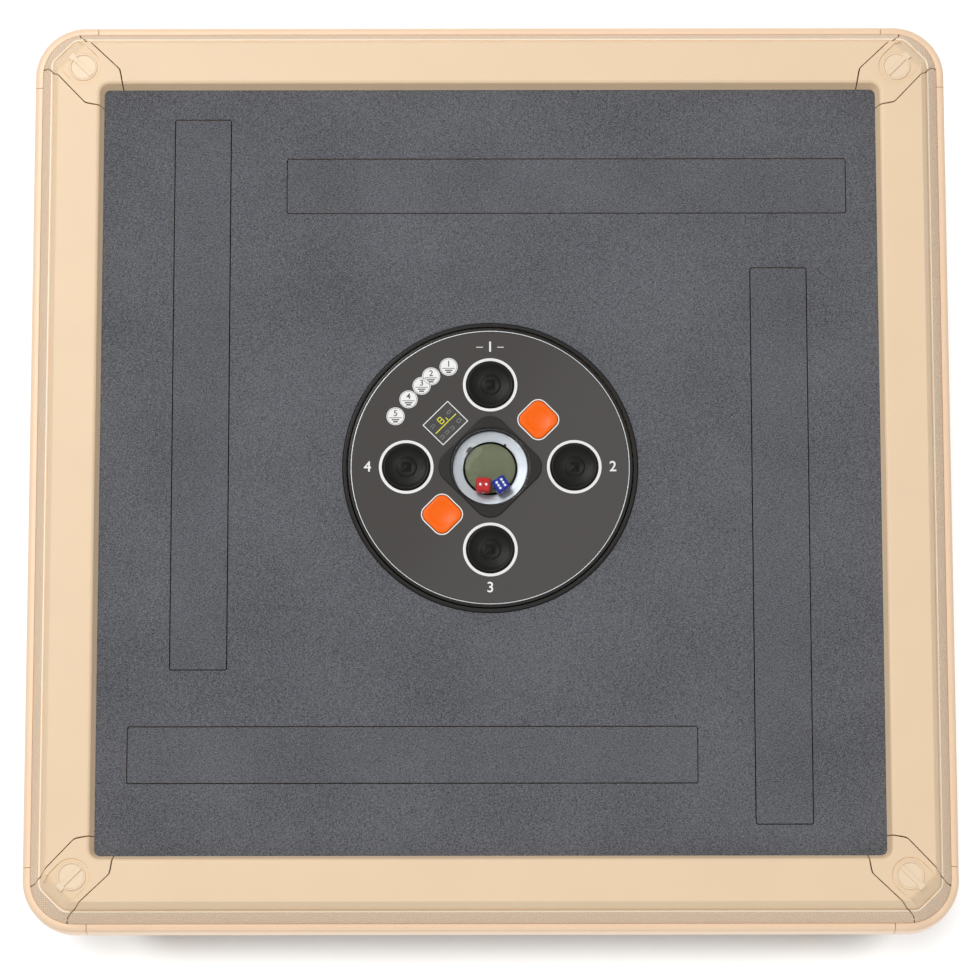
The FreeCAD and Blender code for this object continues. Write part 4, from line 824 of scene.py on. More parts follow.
def carve(thing: Thing, tool: Thing, operation: str) -> None:
    """Cuts one object with another and takes the tool away.

    Args:
        thing: The object that changes.
        tool: The object that it is cut with.
        operation: INTERSECT or DIFFERENCE.
    """
    cutter = thing.modifiers.new("cut", "BOOLEAN")
    cutter.operation = operation
    cutter.solver = "EXACT"
    cutter.object = tool
    carved = evaluated(thing)
    thing.modifiers.clear()
    old = thing.data
    thing.data = carved
    bpy.data.meshes.remove(old)
    bpy.data.objects.remove(tool)


def lettering(name: str, text: str, size: float, place: Place, finish: Finish,
              slot: str) -> Thing:
    """Prints a plain number on the console.

    Args:
        name: The piece's name.
        text: The number.
        size: The height of the figures' line.
        place: The middle of the print.
        finish: The print's finish.
        slot: The name of a material slot, passed on to publish, which does not use it.

    Returns:
        The printed piece.
    """
    font = bpy.data.curves.new(name, "FONT")
    font.body = text
    font.size = size * MM
    font.extrude = 0.03 * MM
    font.offset = 0.012 * size * MM
    font.align_x = "CENTER"
    font.align_y = "CENTER"
    holder = link(name + "_text", font)
    mesh = evaluated(holder)
    bpy.data.objects.remove(holder)
    mesh.transform(Matrix.Translation([value * MM for value in place]))
    return publish(link(name, mesh), "console", (finish,), slot)


@dataclass(frozen=True)
class Softbox:
    """A soft square lamp: where it hangs, what it shines at, its side, power and spin."""

    name: str
    place: Place
    target: Place
    side: float
    watts: float
    spin: float = 0.0

    def turn(self) -> Sequence[float]:
        """Gives the turn that points the lamp at its target."""
        aim = (Vector(self.target) - Vector(self.place)).to_track_quat("-Z", "Y").to_matrix()
        return (aim @ Matrix.Rotation(math.radians(self.spin), 3, "Z")).to_euler()


@dataclass
class Studio:
    """The camera, the lamps, the pale floor and the world, in metres."""

    eye: Place = (-0.0016, -1.0742, 5.994)
    tilt: float = 0.1976
    roll: float = -0.00126
    lens: float = 187.7
    sensor: float = 36.0
    far: float = 60.0
    world_tint: Colour = (1.0, 0.985, 0.965, 1.0)
    world_light: float = 0.43
    floor_lamps: Sequence[tuple[str, float, float]] = (("floor_lamp_west", 0.98, -5.2),
                                                       ("floor_lamp_east", 1.3, 1.5))
    floor_lamp_tilt: float = 4.8
    floor_lamp_angle: float = 3.6
    floor_glow: float = 0.05
    floor_half: float = 12.0
    floor_greys: Point = (0.93, 0.95)
    softboxes: Sequence[Softbox] = (
        Softbox("north_west_softbox", (-1.5, 1.7, 5.2), (0.0, 0.0, 0.75), 1.8, 117.0),
        Softbox("south_fill", (0.4, -3.6, 3.4), (0.0, 0.0, 0.75), 2.4, 28.0),
        Softbox("overhead_softbox", (1.276, 0.2915, 6.0), (1.276, 0.2915, 0.0), 3.0, 21.0, -31.8))

    def camera(self) -> None:
        """Sets the camera over the table, a little to the south."""
        view = bpy.data.cameras.new("camera")
        view.lens = self.lens
        view.sensor_width = self.sensor
        view.clip_end = self.far
        holder = link("camera", view)
        holder.location = self.eye
        holder.rotation_euler = (self.tilt, 0.0, self.roll)
        bpy.context.scene.camera = holder

    def hang(self, light: bpy.types.Light, place: Place, turn: Sequence[float],
             takers: bpy.types.Collection) -> None:
        """Hangs a lamp whose light only one collection takes.

        Args:
            light: The lamp's data.
            place: Where it hangs.
            turn: Its turn about each axis.
            takers: What takes its light.
        """
        holder = link(light.name, light)
        holder.location = place
        holder.rotation_euler = turn
        holder.light_linking.receiver_collection = takers

    def shadow_lamps(self, takers: bpy.types.Collection) -> None:
        """Hangs two far lamps that only the floor takes, for the table's shadow on it."""
        for name, strength, lean in self.floor_lamps:
            light = bpy.data.lights.new(name, "SUN")
            light.energy = strength
            light.angle = math.radians(self.floor_lamp_angle)
            turn = (math.radians(self.floor_lamp_tilt), math.radians(lean), 0.0)
            self.hang(light, (0.0, 0.0, 0.0), turn, takers)

    def lamps(self, takers: bpy.types.Collection) -> None:
        """Hangs the soft lamps that light all but the floor."""
        for box in self.softboxes:
            light = bpy.data.lights.new(box.name, "AREA")
            light.size = box.side
            light.energy = box.watts
            self.hang(light, box.place, box.turn(), takers)

    def world(self) -> None:
        """Makes the world white for the camera, for metal and for glass, and soft for the rest."""
        made = bpy.data.worlds.new("studio")
        bpy.context.scene.world = made
        graph = Graph(made, "ShaderNodeOutputWorld")
        rays = graph.node("ShaderNodeLightPath").outputs
        seen = rays["Is Camera Ray"]
        for ray in ("Is Transmission Ray", "Is Glossy Ray"):
            seen = graph.sum("MAXIMUM", seen, rays[ray])
        soft = graph.node("ShaderNodeBackground", {0: self.world_tint, 1: self.world_light})
        white = graph.node("ShaderNodeBackground", {0: (1.0, 1.0, 1.0, 1.0), 1: 1.0})
        graph.show(graph.node("ShaderNodeMixShader", {0: seen, 1: soft.outputs[0],
                                                      2: white.outputs[0]}))

    def floor(self) -> Thing:
        """Lays a wide pale floor that keeps the table's soft shadow, and gives it back."""
        paint = bpy.data.materials.new("floor_white")
        graph = Graph(paint)
        dark, light = ((grey, grey, grey, 1.0) for grey in self.floor_greys)
        matt = graph.node("ShaderNodeBsdfDiffuse", {
            "Color": graph.mix(graph.span(graph.noise(3.0, 2.0), 0.3, 0.7), dark, light)})
        rays = graph.node("ShaderNodeLightPath").outputs
        lift = graph.sum("MULTIPLY", rays["Is Camera Ray"], self.floor_glow)
        glow = graph.node("ShaderNodeEmission", {"Strength": lift})
        graph.show(graph.node("ShaderNodeAddShader", {0: matt.outputs[0], 1: glow.outputs[0]}))
        mesh = bpy.data.meshes.new("floor")
        sheet = bmesh.new()
        bmesh.ops.create_grid(sheet, x_segments=1, y_segments=1, size=self.floor_half)
        sheet.to_mesh(mesh)
        sheet.free()
        mesh.materials.append(paint)
        floor = link("floor", mesh)
        return floor

    def build(self) -> None:
        """Sets up the whole studio."""
        bpy.context.scene.view_settings.view_transform = "Standard"
        self.camera()
        self.world()
        only_floor = bpy.data.collections.new("floor_only")
        all_but_floor = bpy.data.collections.new("all_but_floor")
        floor = self.floor()
        for group in (only_floor, all_but_floor):
            group.objects.link(floor)
        self.shadow_lamps(only_floor)
        all_but_floor.collection_objects[0].light_linking.link_state = "EXCLUDE"
        self.lamps(all_but_floor)
        LOG.info("studio is set up")


@dataclass
class RimMoulding:
    """The moulded rim: four rails and four corners, parted by slanted seams."""

    top: float = 764.0
    wall: float = 3.5
    inner_middle: float = 403.0
    outer_middle: float = 431.0
    gap: float = 1.2
    seam: Sequence[Point] = ((437.5, 492.0), (437.5, 477.0), (436.0, 471.0), (424.5, 460.0),
                             (394.5, 431.5), (392.2, 428.9), (391.1, 425.0), (386.5, 399.0))
    outer_corner: float = 492.0
    block_foot: float = 680.0
    block_height: float = 110.0
    lip: Sequence[Point] = (
        (421.5, 764.0), (415.5, 764.0), (413.5, 762.0), (409.3, 750.2), (411.5, 750.2),
        (411.5, 748.7), (421.5, 748.7), (421.5, 760.5))
    outer: Sequence[Point] = (
        (443.5, 764.0), (458.5, 764.0), (464.4, 745.8), (465.0, 745.1), (465.6, 746.2),
        (467.0, 745.8), (476.9, 728.5), (476.9, 694.2), (473.6, 694.2), (473.6, 728.6),
        (462.0, 741.1), (455.2, 760.5), (443.5, 760.5))
    # The backing under the seams, painted the brown of the seams' shade.
    backing: Sequence[Point] = ((424.0, 742.0), (457.6, 742.0), (470.6, 727.4), (472.9, 728.0),
                                (459.0, 743.6), (424.0, 743.6), (424.0, 742.0))
    lip_round: float = 1.4
    edge_round: float = 0.3
    flat: Point = (417.0, 450.0)
    field_level: float = 750.5
    skirt_level: float = 727.0
    groove_reach: float = 463.0
    chamfer: float = 32.4
    chamfer_base: float = 35.2
    chamfer_round: float = 4.5
    chamfer_radii: Point = (27.0, 36.5)
    chamfer_level: float = 743.0
    slope_wall: float = 741.0
    slope_radii: Point = (20.0, 26.0)
    slope_level: float = 761.0
    knurl_reach: Point = (461.5, 476.7)
    knurl_levels: Point = (728.6, 744.5)
    knurl_lean: float = 0.3
    knurl_least: float = 3.0
    # Where the bead's painted highlight goes.
    highlight_bead_reach: float = 460.0
    highlight_bead_levels: Point = (745.75, 747.0)
    cap_place: float = 431.5
    seat_level: float = 762.6
    seat_radius: float = 18.5
    seat_length: float = 44.0
    seat_height: float = 8.0
    seat_clear: float = 19.0
    seat_open: float = 16.0
    seat_edge: float = 763.5
    seam_foot: float = 728.2
    seam_reach: float = 455.0
    seat_steps: int = 48
    slope_side: Sequence[Point] = (
        (14.0, 775.0), (14.0, 762.9), (15.4, 762.6), (18.6, 761.2), (22.4, 757.8),
        (26.2, 752.6), (30.0, 745.9), (31.8, 775.0))
    slope_start: float = 15.4
    slope_width: float = 0.96
    slope_taper: float = 0.0055

    def ring(self) -> Shape:
        """Makes the whole rim as one ring with rounded edges."""
        shape = Shape().sweep(self.lip, self.inner_middle)
        shape.sweep(self.outer, self.outer_middle, 48).clean()
        self.cut_corners(shape)
        ends = [edge for edge in shape.bm.edges if len(edge.link_faces) == 1]
        for level in (self.top, self.top - self.wall):
            pair = [edge for edge in ends if abs(edge.verts[0].co.z - level) < 0.01]
            bmesh.ops.bridge_loops(shape.bm, edges=pair)
        start, end = self.flat
        shape.clean().soften(self.lip_round, 3, 25.0, lambda at: at.z > self.top - 0.1
                             and not start < self.reach(at) < end)
        return shape.soften(self.edge_round, 2, 18.0, lambda at: at.z > self.field_level or (
            at.z > self.skirt_level and self.reach(at) > self.groove_reach))

    def cut_corners(self, shape: Shape) -> None:
        """Draws the bevel and the groove across each corner in a slant with round ends.

        The wall under each bolt cap's slope gets thicker.
        """
        for vert in shape.bm.verts:
            x, y = abs(vert.co.x) - self.outer_middle, abs(vert.co.y) - self.outer_middle
            radius = math.hypot(x, y)
            if min(x, y) < 1.0:
                continue
            if (self.slope_radii[0] < radius < self.slope_radii[1]
                    and vert.co.z < self.slope_level):
                vert.co.z = self.slope_wall
            if (not self.chamfer_radii[0] < radius < self.chamfer_radii[1]
                    or vert.co.z < self.chamfer_level):
                continue
            off = math.atan2(abs(x - y), x + y)
            slant = radius * self.chamfer / self.chamfer_base / math.cos(off)
            side = radius / math.cos(math.pi / 4 - off)
            blend = max(self.chamfer_round - abs(slant - side), 0.0)
            share = (min(slant, side) - blend * blend / (4 * self.chamfer_round)) / radius - 1
            vert.co.x += math.copysign(1.0, vert.co.x) * x * share
            vert.co.y += math.copysign(1.0, vert.co.y) * y * share

    def reach(self, at: Vector) -> float:
        """Gives how far out a place is, square to the nearest side or corner."""
        return reach(at, self.outer_middle)

    def on_knurl(self, at: Vector) -> bool:
        """Tells whether a place is on the knurled band."""
        return (self.knurl_reach[0] < self.reach(at) < self.knurl_reach[1]
                and self.knurl_levels[0] < at.z < self.knurl_levels[1])

    def on_highlight_bead(self, at: Vector) -> bool:
        """Tells whether a place is on the fine bead between the groove and the knurl, whose lighter
        finish is a painted highlight.
        """
        return (self.reach(at) > self.highlight_bead_reach
                and self.highlight_bead_levels[0] < at.z < self.highlight_bead_levels[1])

    def block(self, points: Sequence[Point], quarter: int) -> Thing:
        """Makes an upright block through points, to part the rim with."""
        shape = Shape().outline([(x, y, self.block_foot) for x, y in points])
        tool = shape.thicken(self.block_height).object("tool")
        tool.data.transform(Matrix.Rotation(quarter * math.pi / 2, 4, "Z"))
        return tool

    def recesses(self, quarter: int) -> list[Thing]:
        """Makes the tools for the sunk seat round a bolt cap and for the slope below it."""
        radius = self.seat_radius
        points = [(radius * math.cos(turn), radius * math.sin(turn)) for turn in
                  (math.pi / 2 + math.pi * step / self.seat_steps
                   for step in range(self.seat_steps + 1))]
        points += [(self.seat_length, -radius), (self.seat_length, radius)]
        seat = Shape().outline([(x, y, self.seat_level) for x, y in points])
        seat.thicken(self.seat_height)
        slope = Shape().outline([(x, -radius, z) for x, z in self.slope_side])
        slope.thicken(2 * radius, (0.0, 1.0, 0.0))
        for vert in slope.bm.verts:
            vert.co.y *= (self.slope_width
                          - max(vert.co.x - self.slope_start, 0.0) * self.slope_taper)
        tools = []
        for shape in (seat, slope.clean()):
            shape.move(self.cap_place, -self.cap_place, 0.0, -45.0).move(turn=90.0 * quarter)
            tools.append(shape.object("recess"))
        return tools

    def whole(self) -> Thing:
        """Makes the whole rim with its finishes, before it is parted."""
        ring = self.ring().paint(1, self.on_knurl)
        ring.bm.normal_update()
        for face in ring.bm.faces:
            if face.normal.z < self.knurl_lean or face.calc_area() < self.knurl_least:
                face.material_index = 0
        # Faces on the bead take the lighter finish, a painted highlight.
        whole = ring.paint(2, self.on_highlight_bead).object("rim_ring")
        for finish in (RIM, KNURL, BEAD_HIGHLIGHT):
            whole.data.materials.append(finish.build())
        return whole

    def build(self) -> None:
        """Builds the four rails and the four corners, and the dark brown backing under their seams,
        which is painted shade for the seam gaps.
        """
        whole = self.whole()
        rail = [(x, -y) for x, y in self.seam] + [(-x, -y) for x, y in reversed(self.seam)]
        south = [(x + self.gap, -y) for x, y in self.seam]
        east = [(y, -x - self.gap) for x, y in reversed(self.seam)]
        corner = south + east + [(self.outer_corner, -self.outer_corner)]
        for quarter, (side, end) in enumerate(zip(SIDES, CORNERS)):
            for points, name, node in ((rail, "moulded_rail_" + side, "rail_" + side),
                                       (corner, "moulded_corner_" + end, "frame_corners")):
                piece = link(name, whole.data.copy())
                carve(piece, self.block(points, quarter), "INTERSECT")
                for cut in self.recesses(quarter) if points is corner else ():
                    carve(piece, cut, "DIFFERENCE")
                round_cuts(piece, 55.0, 0.0006, 0.00002, self.at_seam, 0.00001)
                publish(piece, "root", (RIM, KNURL, BEAD_HIGHLIGHT), "rim", (node,), 40.0)
        bpy.data.objects.remove(whole)
        # The backing is painted the brown of the seams' shade.
        backing = Shape().sweep(self.backing, self.outer_middle).clean()
        backing.piece("rim_seam_shade_backing", "root", SEAM_SHADE_BROWN, slot="rim")

    def at_seam(self, at: Vector) -> bool:
        """Tells whether a place is where a cut edge shows, off the floor of a cap's seat."""
        x, y = abs(at.x) / MM - self.cap_place, abs(at.y) / MM - self.cap_place
        along, across = (x + y) / math.sqrt(2.0), abs(x - y) / math.sqrt(2.0)
        z, far = at.z / MM, max(abs(at.x), abs(at.y)) / MM
        if across < self.seat_clear and along > -self.seat_clear and (
                z < self.seat_edge or along > self.seat_open):
            return False
        return z > self.field_level or (z > self.seam_foot and far > self.seam_reach)


@dataclass
class BoltCaps:
    """The keyed round caps over the corner bolts."""

    place: float = 431.5
    top: float = 764.0
    disc: Sequence[Point] = ((0.0, -1.9), (15.0, -1.9), (15.0, -0.35), (14.4, 0.25),
                             (13.3, 0.25), (12.4, -1.3), (0.0, -1.3))
    key: Sequence[Point] = ((-12.9, 2.3), (13.6, 2.3), (13.6, 3.9), (18.8, 3.9))
    key_foot: float = 1.8
    key_height: float = 2.3

    def build(self) -> None:
        """Builds the four caps."""
        outline = [*self.key, *((x, -y) for x, y in reversed(self.key))]
        for quarter, corner in enumerate(CORNERS):
            disc = Shape().lathe(self.disc, level=self.top).soften(0.25, 2, 20.0)
            key = Shape().outline([(x, y, self.top - self.key_foot) for x, y in outline])
            disc.join(key.thicken(self.key_height).soften(0.4, 3, 25.0, above(self.top - 1.0)))
            disc.move(self.place, -self.place, 0.0, -45.0).move(turn=90.0 * quarter)
            disc.piece("bolt_cap_" + corner, "root", CAP, slot="cap",
                       replaces=["corner_bolt_caps"])


@dataclass
class EdgeTrim:
    """The clip-on trim round the table, parted into sides and corners."""

    middle: float = 431.0
    joint: float = 418.0
    gap: float = 0.5
    section: Sequence[Point] = ((477.1, 694.2), (485.1, 694.2), (485.1, 728.3), (477.1, 728.3),
                                (477.1, 694.2))
    top: float = 727.0
    foot: float = 695.0
    slit: Point = (20.0, 60.0)
    slit_place: Point = (-482.0, 711.0)

    def build(self) -> None:
        """Builds the trim as one ring and parts it at its joints."""
        shape = Shape().sweep(self.section, self.middle, 32).clean()
        for width, segments, where in (
                (5.2, 6, lambda at: at.z > self.top and reach(at, self.middle) > 484.0),
                (2.8, 4, lambda at: at.z < self.foot and reach(at, self.middle) > 484.0),
                (0.3, 2, lambda at: at.z > self.top and reach(at, self.middle) < 478.0)):
            shape.soften(width, segments, 25.0, where)
        ring = shape.object("clip_on_trim")
        tools = Shape()
        for quarter in range(4):
            for side in (-1, 1):
                x = side * (self.joint + self.gap / 2)
                slit = Shape().block((self.gap, *self.slit), (x, *self.slit_place))
                tools.join(slit.move(turn=90.0 * quarter))
        carve(ring, tools.object("trim_joints"), "DIFFERENCE")
        round_cuts(ring, 60.0, 0.0003, 0.00001, above(self.foot * MM))
        publish(ring, "root", (TRIM,), "trim", ("edge_trim",), 40.0)


@dataclass
class Playfield:
    """The felt field over the board, and the felt tops of the four lifts."""

    half: float = 411.3
    corner: float = 8.3
    hole: float = 155.1
    level: float = 750.0
    thick: float = 1.2
    lift_length: float = 590.0
    lift_width: float = 58.0
    lift_offset: float = 81.0
    lift_line: float = 304.0
    lift_corner: float = 1.5
    gap: float = 1.2
    strip_foot: float = 0.5
    strip_thick: float = 0.75
    strip_grow: float = 0.12

    def slot(self, shape: Shape, quarter: int, grow: float, z: float) -> None:
        """Draws the outline of one lift, grown by a gap."""
        middle = quarter_point(-self.lift_offset, -self.lift_line, quarter)
        shape.rounded(self.lift_length / 2 + grow, self.lift_width / 2 + grow,
                      self.lift_corner + grow, z, middle, 90.0 * quarter, 5)

    def field(self) -> None:
        """Lays the felt over the board."""
        shape = Shape()
        low = self.level - self.thick
        shape.rounded(self.half, self.half, self.corner, low)
        shape.circle(self.hole, low, steps=128)
        for quarter in range(4):
            self.slot(shape, quarter, self.gap, low)
        shape.fill().thicken(self.thick).soften(0.4, 2, 40.0, above(self.level - 0.1))
        felt = shape.piece("felt_field", "root", FELT, slot="felt", replaces=["playfield_felt"])

    def tops(self) -> None:
        """Covers each lift deck with its own strip of felt."""
        for quarter, side in enumerate(SIDES):
            shape = Shape()
            self.slot(shape, quarter, self.strip_grow, self.level - self.strip_foot)
            shape.fill().thicken(self.strip_thick).soften(0.3, 2, 40.0, above(self.level))
            strip = shape.piece("felt_top_" + side, "lift_" + side, DECK_FELT, slot="felt")

    def build(self) -> None:
        """Builds the field and the felt tops."""
        self.field()
        self.tops()


@dataclass
class Console:
    """The round console with its panel, rings, buttons and display."""

    top: float = 752.0
    steps: int = 160
    well: Sequence[Point] = ((150.6, 748.6), (154.9, 748.6), (154.9, 750.9), (153.9, 752.0),
                             (150.6, 752.0))
    lip: Sequence[Point] = ((146.4, 750.6), (149.45, 750.6), (149.45, 751.6), (148.9, 752.2),
                            (146.4, 752.3))
    bright: Sequence[Point] = ((145.05, 749.2), (146.3, 749.2), (146.3, 752.5), (145.05, 752.5))
    panel_radius: float = 144.8
    panel_thick: float = 3.0
    cup_hole: float = 42.3
    key_hole: float = 25.4
    key_place: float = 88.0
    square_place: float = 50.5
    window: Point = (-47.0, 47.0)
    white_ring: Sequence[Point] = ((25.6, -0.2), (28.6, -0.2), (28.6, 0.12), (25.6, 0.12))
    numbers: Sequence[str] = ("3", "2", "1", "4")
    number_reach: float = 128.5
    number_size: float = 15.5
    discs: Sequence[Point] = ((-43.6, 107.4), (-62.0, 97.2), (-72.0, 87.0), (-85.7, 72.5),
                              (-99.3, 54.3))
    badge_radius: float = 9.5
    badge_ring: Point = (8.3, 8.75)
    badge_bars: Sequence[Bar] = ((0.0, -1.6, 13.0, 0.7), (0.0, -3.7, 8.0, 1.3),
                                 (0.0, -5.9, 5.0, 1.6))
    key_rise: float = 2.5
    key_foot: float = 5.9
    key_side: float = 24.8
    key_dish: Sequence[Point] = (
        (24.8, -1.6), (23.9, -0.3), (22.9, 0.0), (21.9, -0.25), (21.3, -0.6), (18.6, -1.6),
        (14.6, -2.1), (11.2, -2.3), (10.5, -1.8), (9.6, -1.5), (8.9, -1.9), (0.0, -2.0))
    square_rise: float = 1.6
    square_levels: Sequence[Place] = ((1.3, 17.0, 9.0), (0.5, 16.6, 8.6), (0.1, 15.9, 7.9),
                                      (0.0, 15.0, 7.4))
    square_hollow: Sequence[Point] = ((0.02, 13.2), (0.5, 12.1), (1.0, 9.4), (1.3, 5.0),
                                      (1.4, 1.2))
    unlit: Sequence[Bar] = (
        (11.0, 7.0, 5.0, 0.7), (11.0, 4.6, 5.0, 0.7), (8.6, 5.8, 0.7, 3.0),
        (13.4, 5.8, 0.7, 3.0), (-12.0, 8.0, 5.0, 0.6), (-12.0, 5.6, 5.0, 0.6),
        (-9.6, 6.8, 0.6, 3.0), (-13.0, -7.0, 4.0, 0.7), (-13.0, -10.0, 4.0, 0.7),
        (-10.9, -8.5, 0.7, 3.4), (-6.0, -7.0, 4.5, 0.7), (-6.0, -9.6, 4.5, 0.7),
        (-3.6, -8.3, 0.7, 3.2), (1.0, -7.4, 4.0, 0.7), (1.0, -10.4, 4.0, 0.7),
        (3.2, -8.9, 0.7, 3.2), (12.0, -6.6, 4.6, 0.7), (12.0, -9.6, 4.6, 0.7),
        (9.8, -8.0, 0.7, 3.0), (14.2, -8.0, 0.7, 3.0))

    def key_spots(self) -> list[tuple[str, float, float]]:
        """Gives each side with the middle of its seat button."""
        return [(side, *quarter_point(0.0, -self.key_place, quarter))
                for quarter, side in enumerate(SIDES)]

    def square_spot(self, sign: int) -> Point:
        """Gives the middle of a square button."""
        return (self.square_place * sign, self.square_place * sign)

    def rings(self) -> None:
        """Turns the well ring, the console's lip and the bright ring."""
        well = Shape().lathe(self.well, self.steps).soften(0.35, 3, 25.0, above(750.0))
        well.piece("well_collar", "root", GLOSS_BLACK, slot="black_plastic",
                   replaces=["well_ring"])
        lip = Shape().lathe(self.lip, self.steps).soften(0.3, 3, 25.0)
        lip.piece("console_lip", "console", GLOSS_BLACK, slot="black_plastic")
        bright = Shape().lathe(self.bright, self.steps).soften(0.35, 3, 25.0, above(self.top))
        bright.piece("bright_ring", "console", RING_SILVER, slot="silver",
                     replaces=["console_ring"])

    def panel(self) -> None:
        """Cuts the panel out for its buttons, its display and the dice cup."""
        shape = Shape()
        low = self.top - self.panel_thick
        shape.circle(self.panel_radius, low, steps=self.steps)
        shape.circle(self.cup_hole, low)
        for _, x, y in self.key_spots():
            shape.circle(self.key_hole, low, (x, y), 72)
        for sign in (-1, 1):
            shape.rounded(17.5, 17.5, 9.5, low, self.square_spot(sign), 45.0, 10)
        shape.rounded(18.5, 15.2, 0.4, low, self.window, 45.0, 2)
        shape.fill().thicken(self.panel_thick).soften(0.3, 2, 40.0, above(self.top - 0.1))
        shape.piece("printed_panel", "console", PANEL, slot="panel", replaces=["console_panel"])

    def prints(self) -> None:
        """Prints the white rings, the outlines of the square buttons and the seat numbers."""
        for side, x, y in self.key_spots():
            ring = Shape().lathe(self.white_ring, level=self.top)
            ring.soften(0.08, 2, 25.0, above(self.top)).move(x, y)
            ring.piece("white_ring_" + side, "console", INK_WHITE, slot="dice")
        for name, sign in SQUARE_KEYS:
            shape = Shape()
            for half, radius in ((18.7, 10.7), (17.55, 9.55)):
                shape.rounded(half, half, radius, self.top - 0.2, self.square_spot(sign), 45.0)
            shape.fill().thicken(0.32)
            shape.piece("white_frame_" + name, "console", INK_WHITE, slot="dice")
        for quarter, text in enumerate(self.numbers):
            place = (*quarter_point(0.0, -self.number_reach, quarter), self.top + 0.04)
            lettering("seat_number_" + text, text, self.number_size, place, INK_WHITE, "dice")
        for sign, way in ((-1, "left"), (1, "right")):
            dash = Shape().bars([(sign * 11.0, self.number_reach, 7.0, 0.7)], 0.1, self.top)
            dash.piece("seat_dash_" + way, "console", INK_WHITE, slot="dice")

    def badges(self) -> None:
        """Prints the five white discs, each with a plain number over three bars."""
        low, (start, end) = self.top - 0.2, self.badge_ring
        for index, (x, y) in enumerate(self.discs):
            text = str(index + 1)
            high = self.top + 0.05 + 0.03 * index
            disc = Shape().lathe([(0.0, low), (self.badge_radius, low),
                                  (self.badge_radius, high), (0.0, high)], 64)
            disc.move(x, y).piece("badge_" + text, "console", INK_WHITE, slot="dice")
            mark = Shape().lathe([(start, -0.1), (end, -0.1), (end, 0.03), (start, 0.03)], 64,
                                 high)
            mark.bars(self.badge_bars, 0.12, high).move(x, y)
            mark.piece("badge_mark_" + text, "console", INK_DARK, slot="panel")
            lettering("badge_number_" + text, text, 9.0, (x, y + 3.0, high + 0.03), INK_DARK,
                      "panel")

    def seat_keys(self) -> None:
        """Turns the dished seat buttons with their middle boss and its small pyramid."""
        foot = -self.key_foot - self.key_rise
        for side, x, y in self.key_spots():
            top = self.top + self.key_rise
            key = Shape().lathe([(0.0, foot), (self.key_side, foot), *self.key_dish], level=top)
            key.soften(0.22, 2, 20.0)
            peak = Shape()
            bmesh.ops.create_cone(peak.bm, cap_ends=True, segments=4, radius1=8.2, radius2=1.2,
                                  depth=1.8, matrix=Matrix.Translation((0, 0, top - 1.2))
                                  @ Matrix.Rotation(math.pi / 4, 4, "Z"))
            key.join(peak.soften(0.15, 2, 15.0)).move(x, y)
            key.piece("seat_key_" + side, "button_" + side, KEY_BLACK, slot="black_plastic",
                      replaces=["seat_button_" + side])

    def square_keys(self) -> None:
        """Builds the two orange buttons with a round hollow in the middle."""
        foot, top = self.top - self.key_foot, self.top + self.square_rise
        _, half, radius = self.square_levels[0]
        for name, sign in SQUARE_KEYS:
            shape = Shape()
            rings = [shape.rounded(half, half, radius, foot, steps=15)]
            rings += [shape.rounded(half, half, radius, top - down, steps=15)
                      for down, half, radius in self.square_levels]
            rings += [shape.circle(wide, top - down, steps=64)
                      for down, wide in self.square_hollow]
            loops = [[edge for vert in ring for edge in vert.link_edges] for ring in rings]
            for one, two in zip(loops, loops[1:]):
                bmesh.ops.bridge_loops(shape.bm, edges=list(set(one + two)))
            bmesh.ops.holes_fill(shape.bm, edges=list(shape.bm.edges), sides=0)
            shape.clean().move(*self.square_spot(sign), 0.0, 45.0)
            shape.piece("orange_key_" + name, name + "_key", ORANGE, slot="orange",
                        replaces=[name], smooth=50.0)

    def display(self) -> None:
        """Builds the display window with a frame, one lit figure and unlit segments."""
        glass = Shape()
        glass.rounded(18.3, 15.0, 0.4, self.top - 7.9, steps=2)
        glass.fill().thicken(7.5).soften(0.25, 2, 40.0, above(self.top - 0.6))
        glass.block((42.8, 36.2, 4.8), (0.0, 0.0, self.top - 5.45))
        frame_line = Shape()
        for half_x, half_y, radius in ((18.6, 15.3, 0.6), (17.7, 14.4, 0.4)):
            frame_line.rounded(half_x, half_y, radius, self.top - 0.05, steps=3)
        frame_line.fill().thicken(0.15)
        level = self.top - 0.38
        lit = Shape().bars([(0.0, -0.8, 30.0, 0.9), *self.figure()], 0.08, level)
        unlit = Shape().bars(self.unlit, 0.06, level)
        for shape, name, finish, slot, nodes in (
                (glass, "window", SCREEN, "display", ["display_module"]),
                (frame_line, "frame", INK_WHITE, "dice", []),
                (lit, "lit", LCD_YELLOW, "display", []),
                (unlit, "unlit", LCD_GREY, "display", [])):
            shape.move(*self.window, 0.0, 45.0)
            shape.piece("display_" + name, "console", finish, slot=slot, replaces=nodes)

    def figure(self) -> list[Bar]:
        """Gives the lit segments of the one figure that shows."""
        x, y, wide, high, line = -1.5, 5.4, 4.2, 3.4, 0.85
        segments = [(x, y + high * k, wide, line) for k in (-1, 0, 1)]
        segments += [(x + side * wide / 2, y + high * k / 2, line, high)
                     for side in (-1, 1) for k in (-1, 1)]
        return segments + [(4.4, 1.4, line, 5.0)]

    def build(self) -> None:
        """Builds the whole console."""
        for step in (self.rings, self.panel, self.prints, self.badges, self.seat_keys,
                     self.square_keys, self.display):
            step()


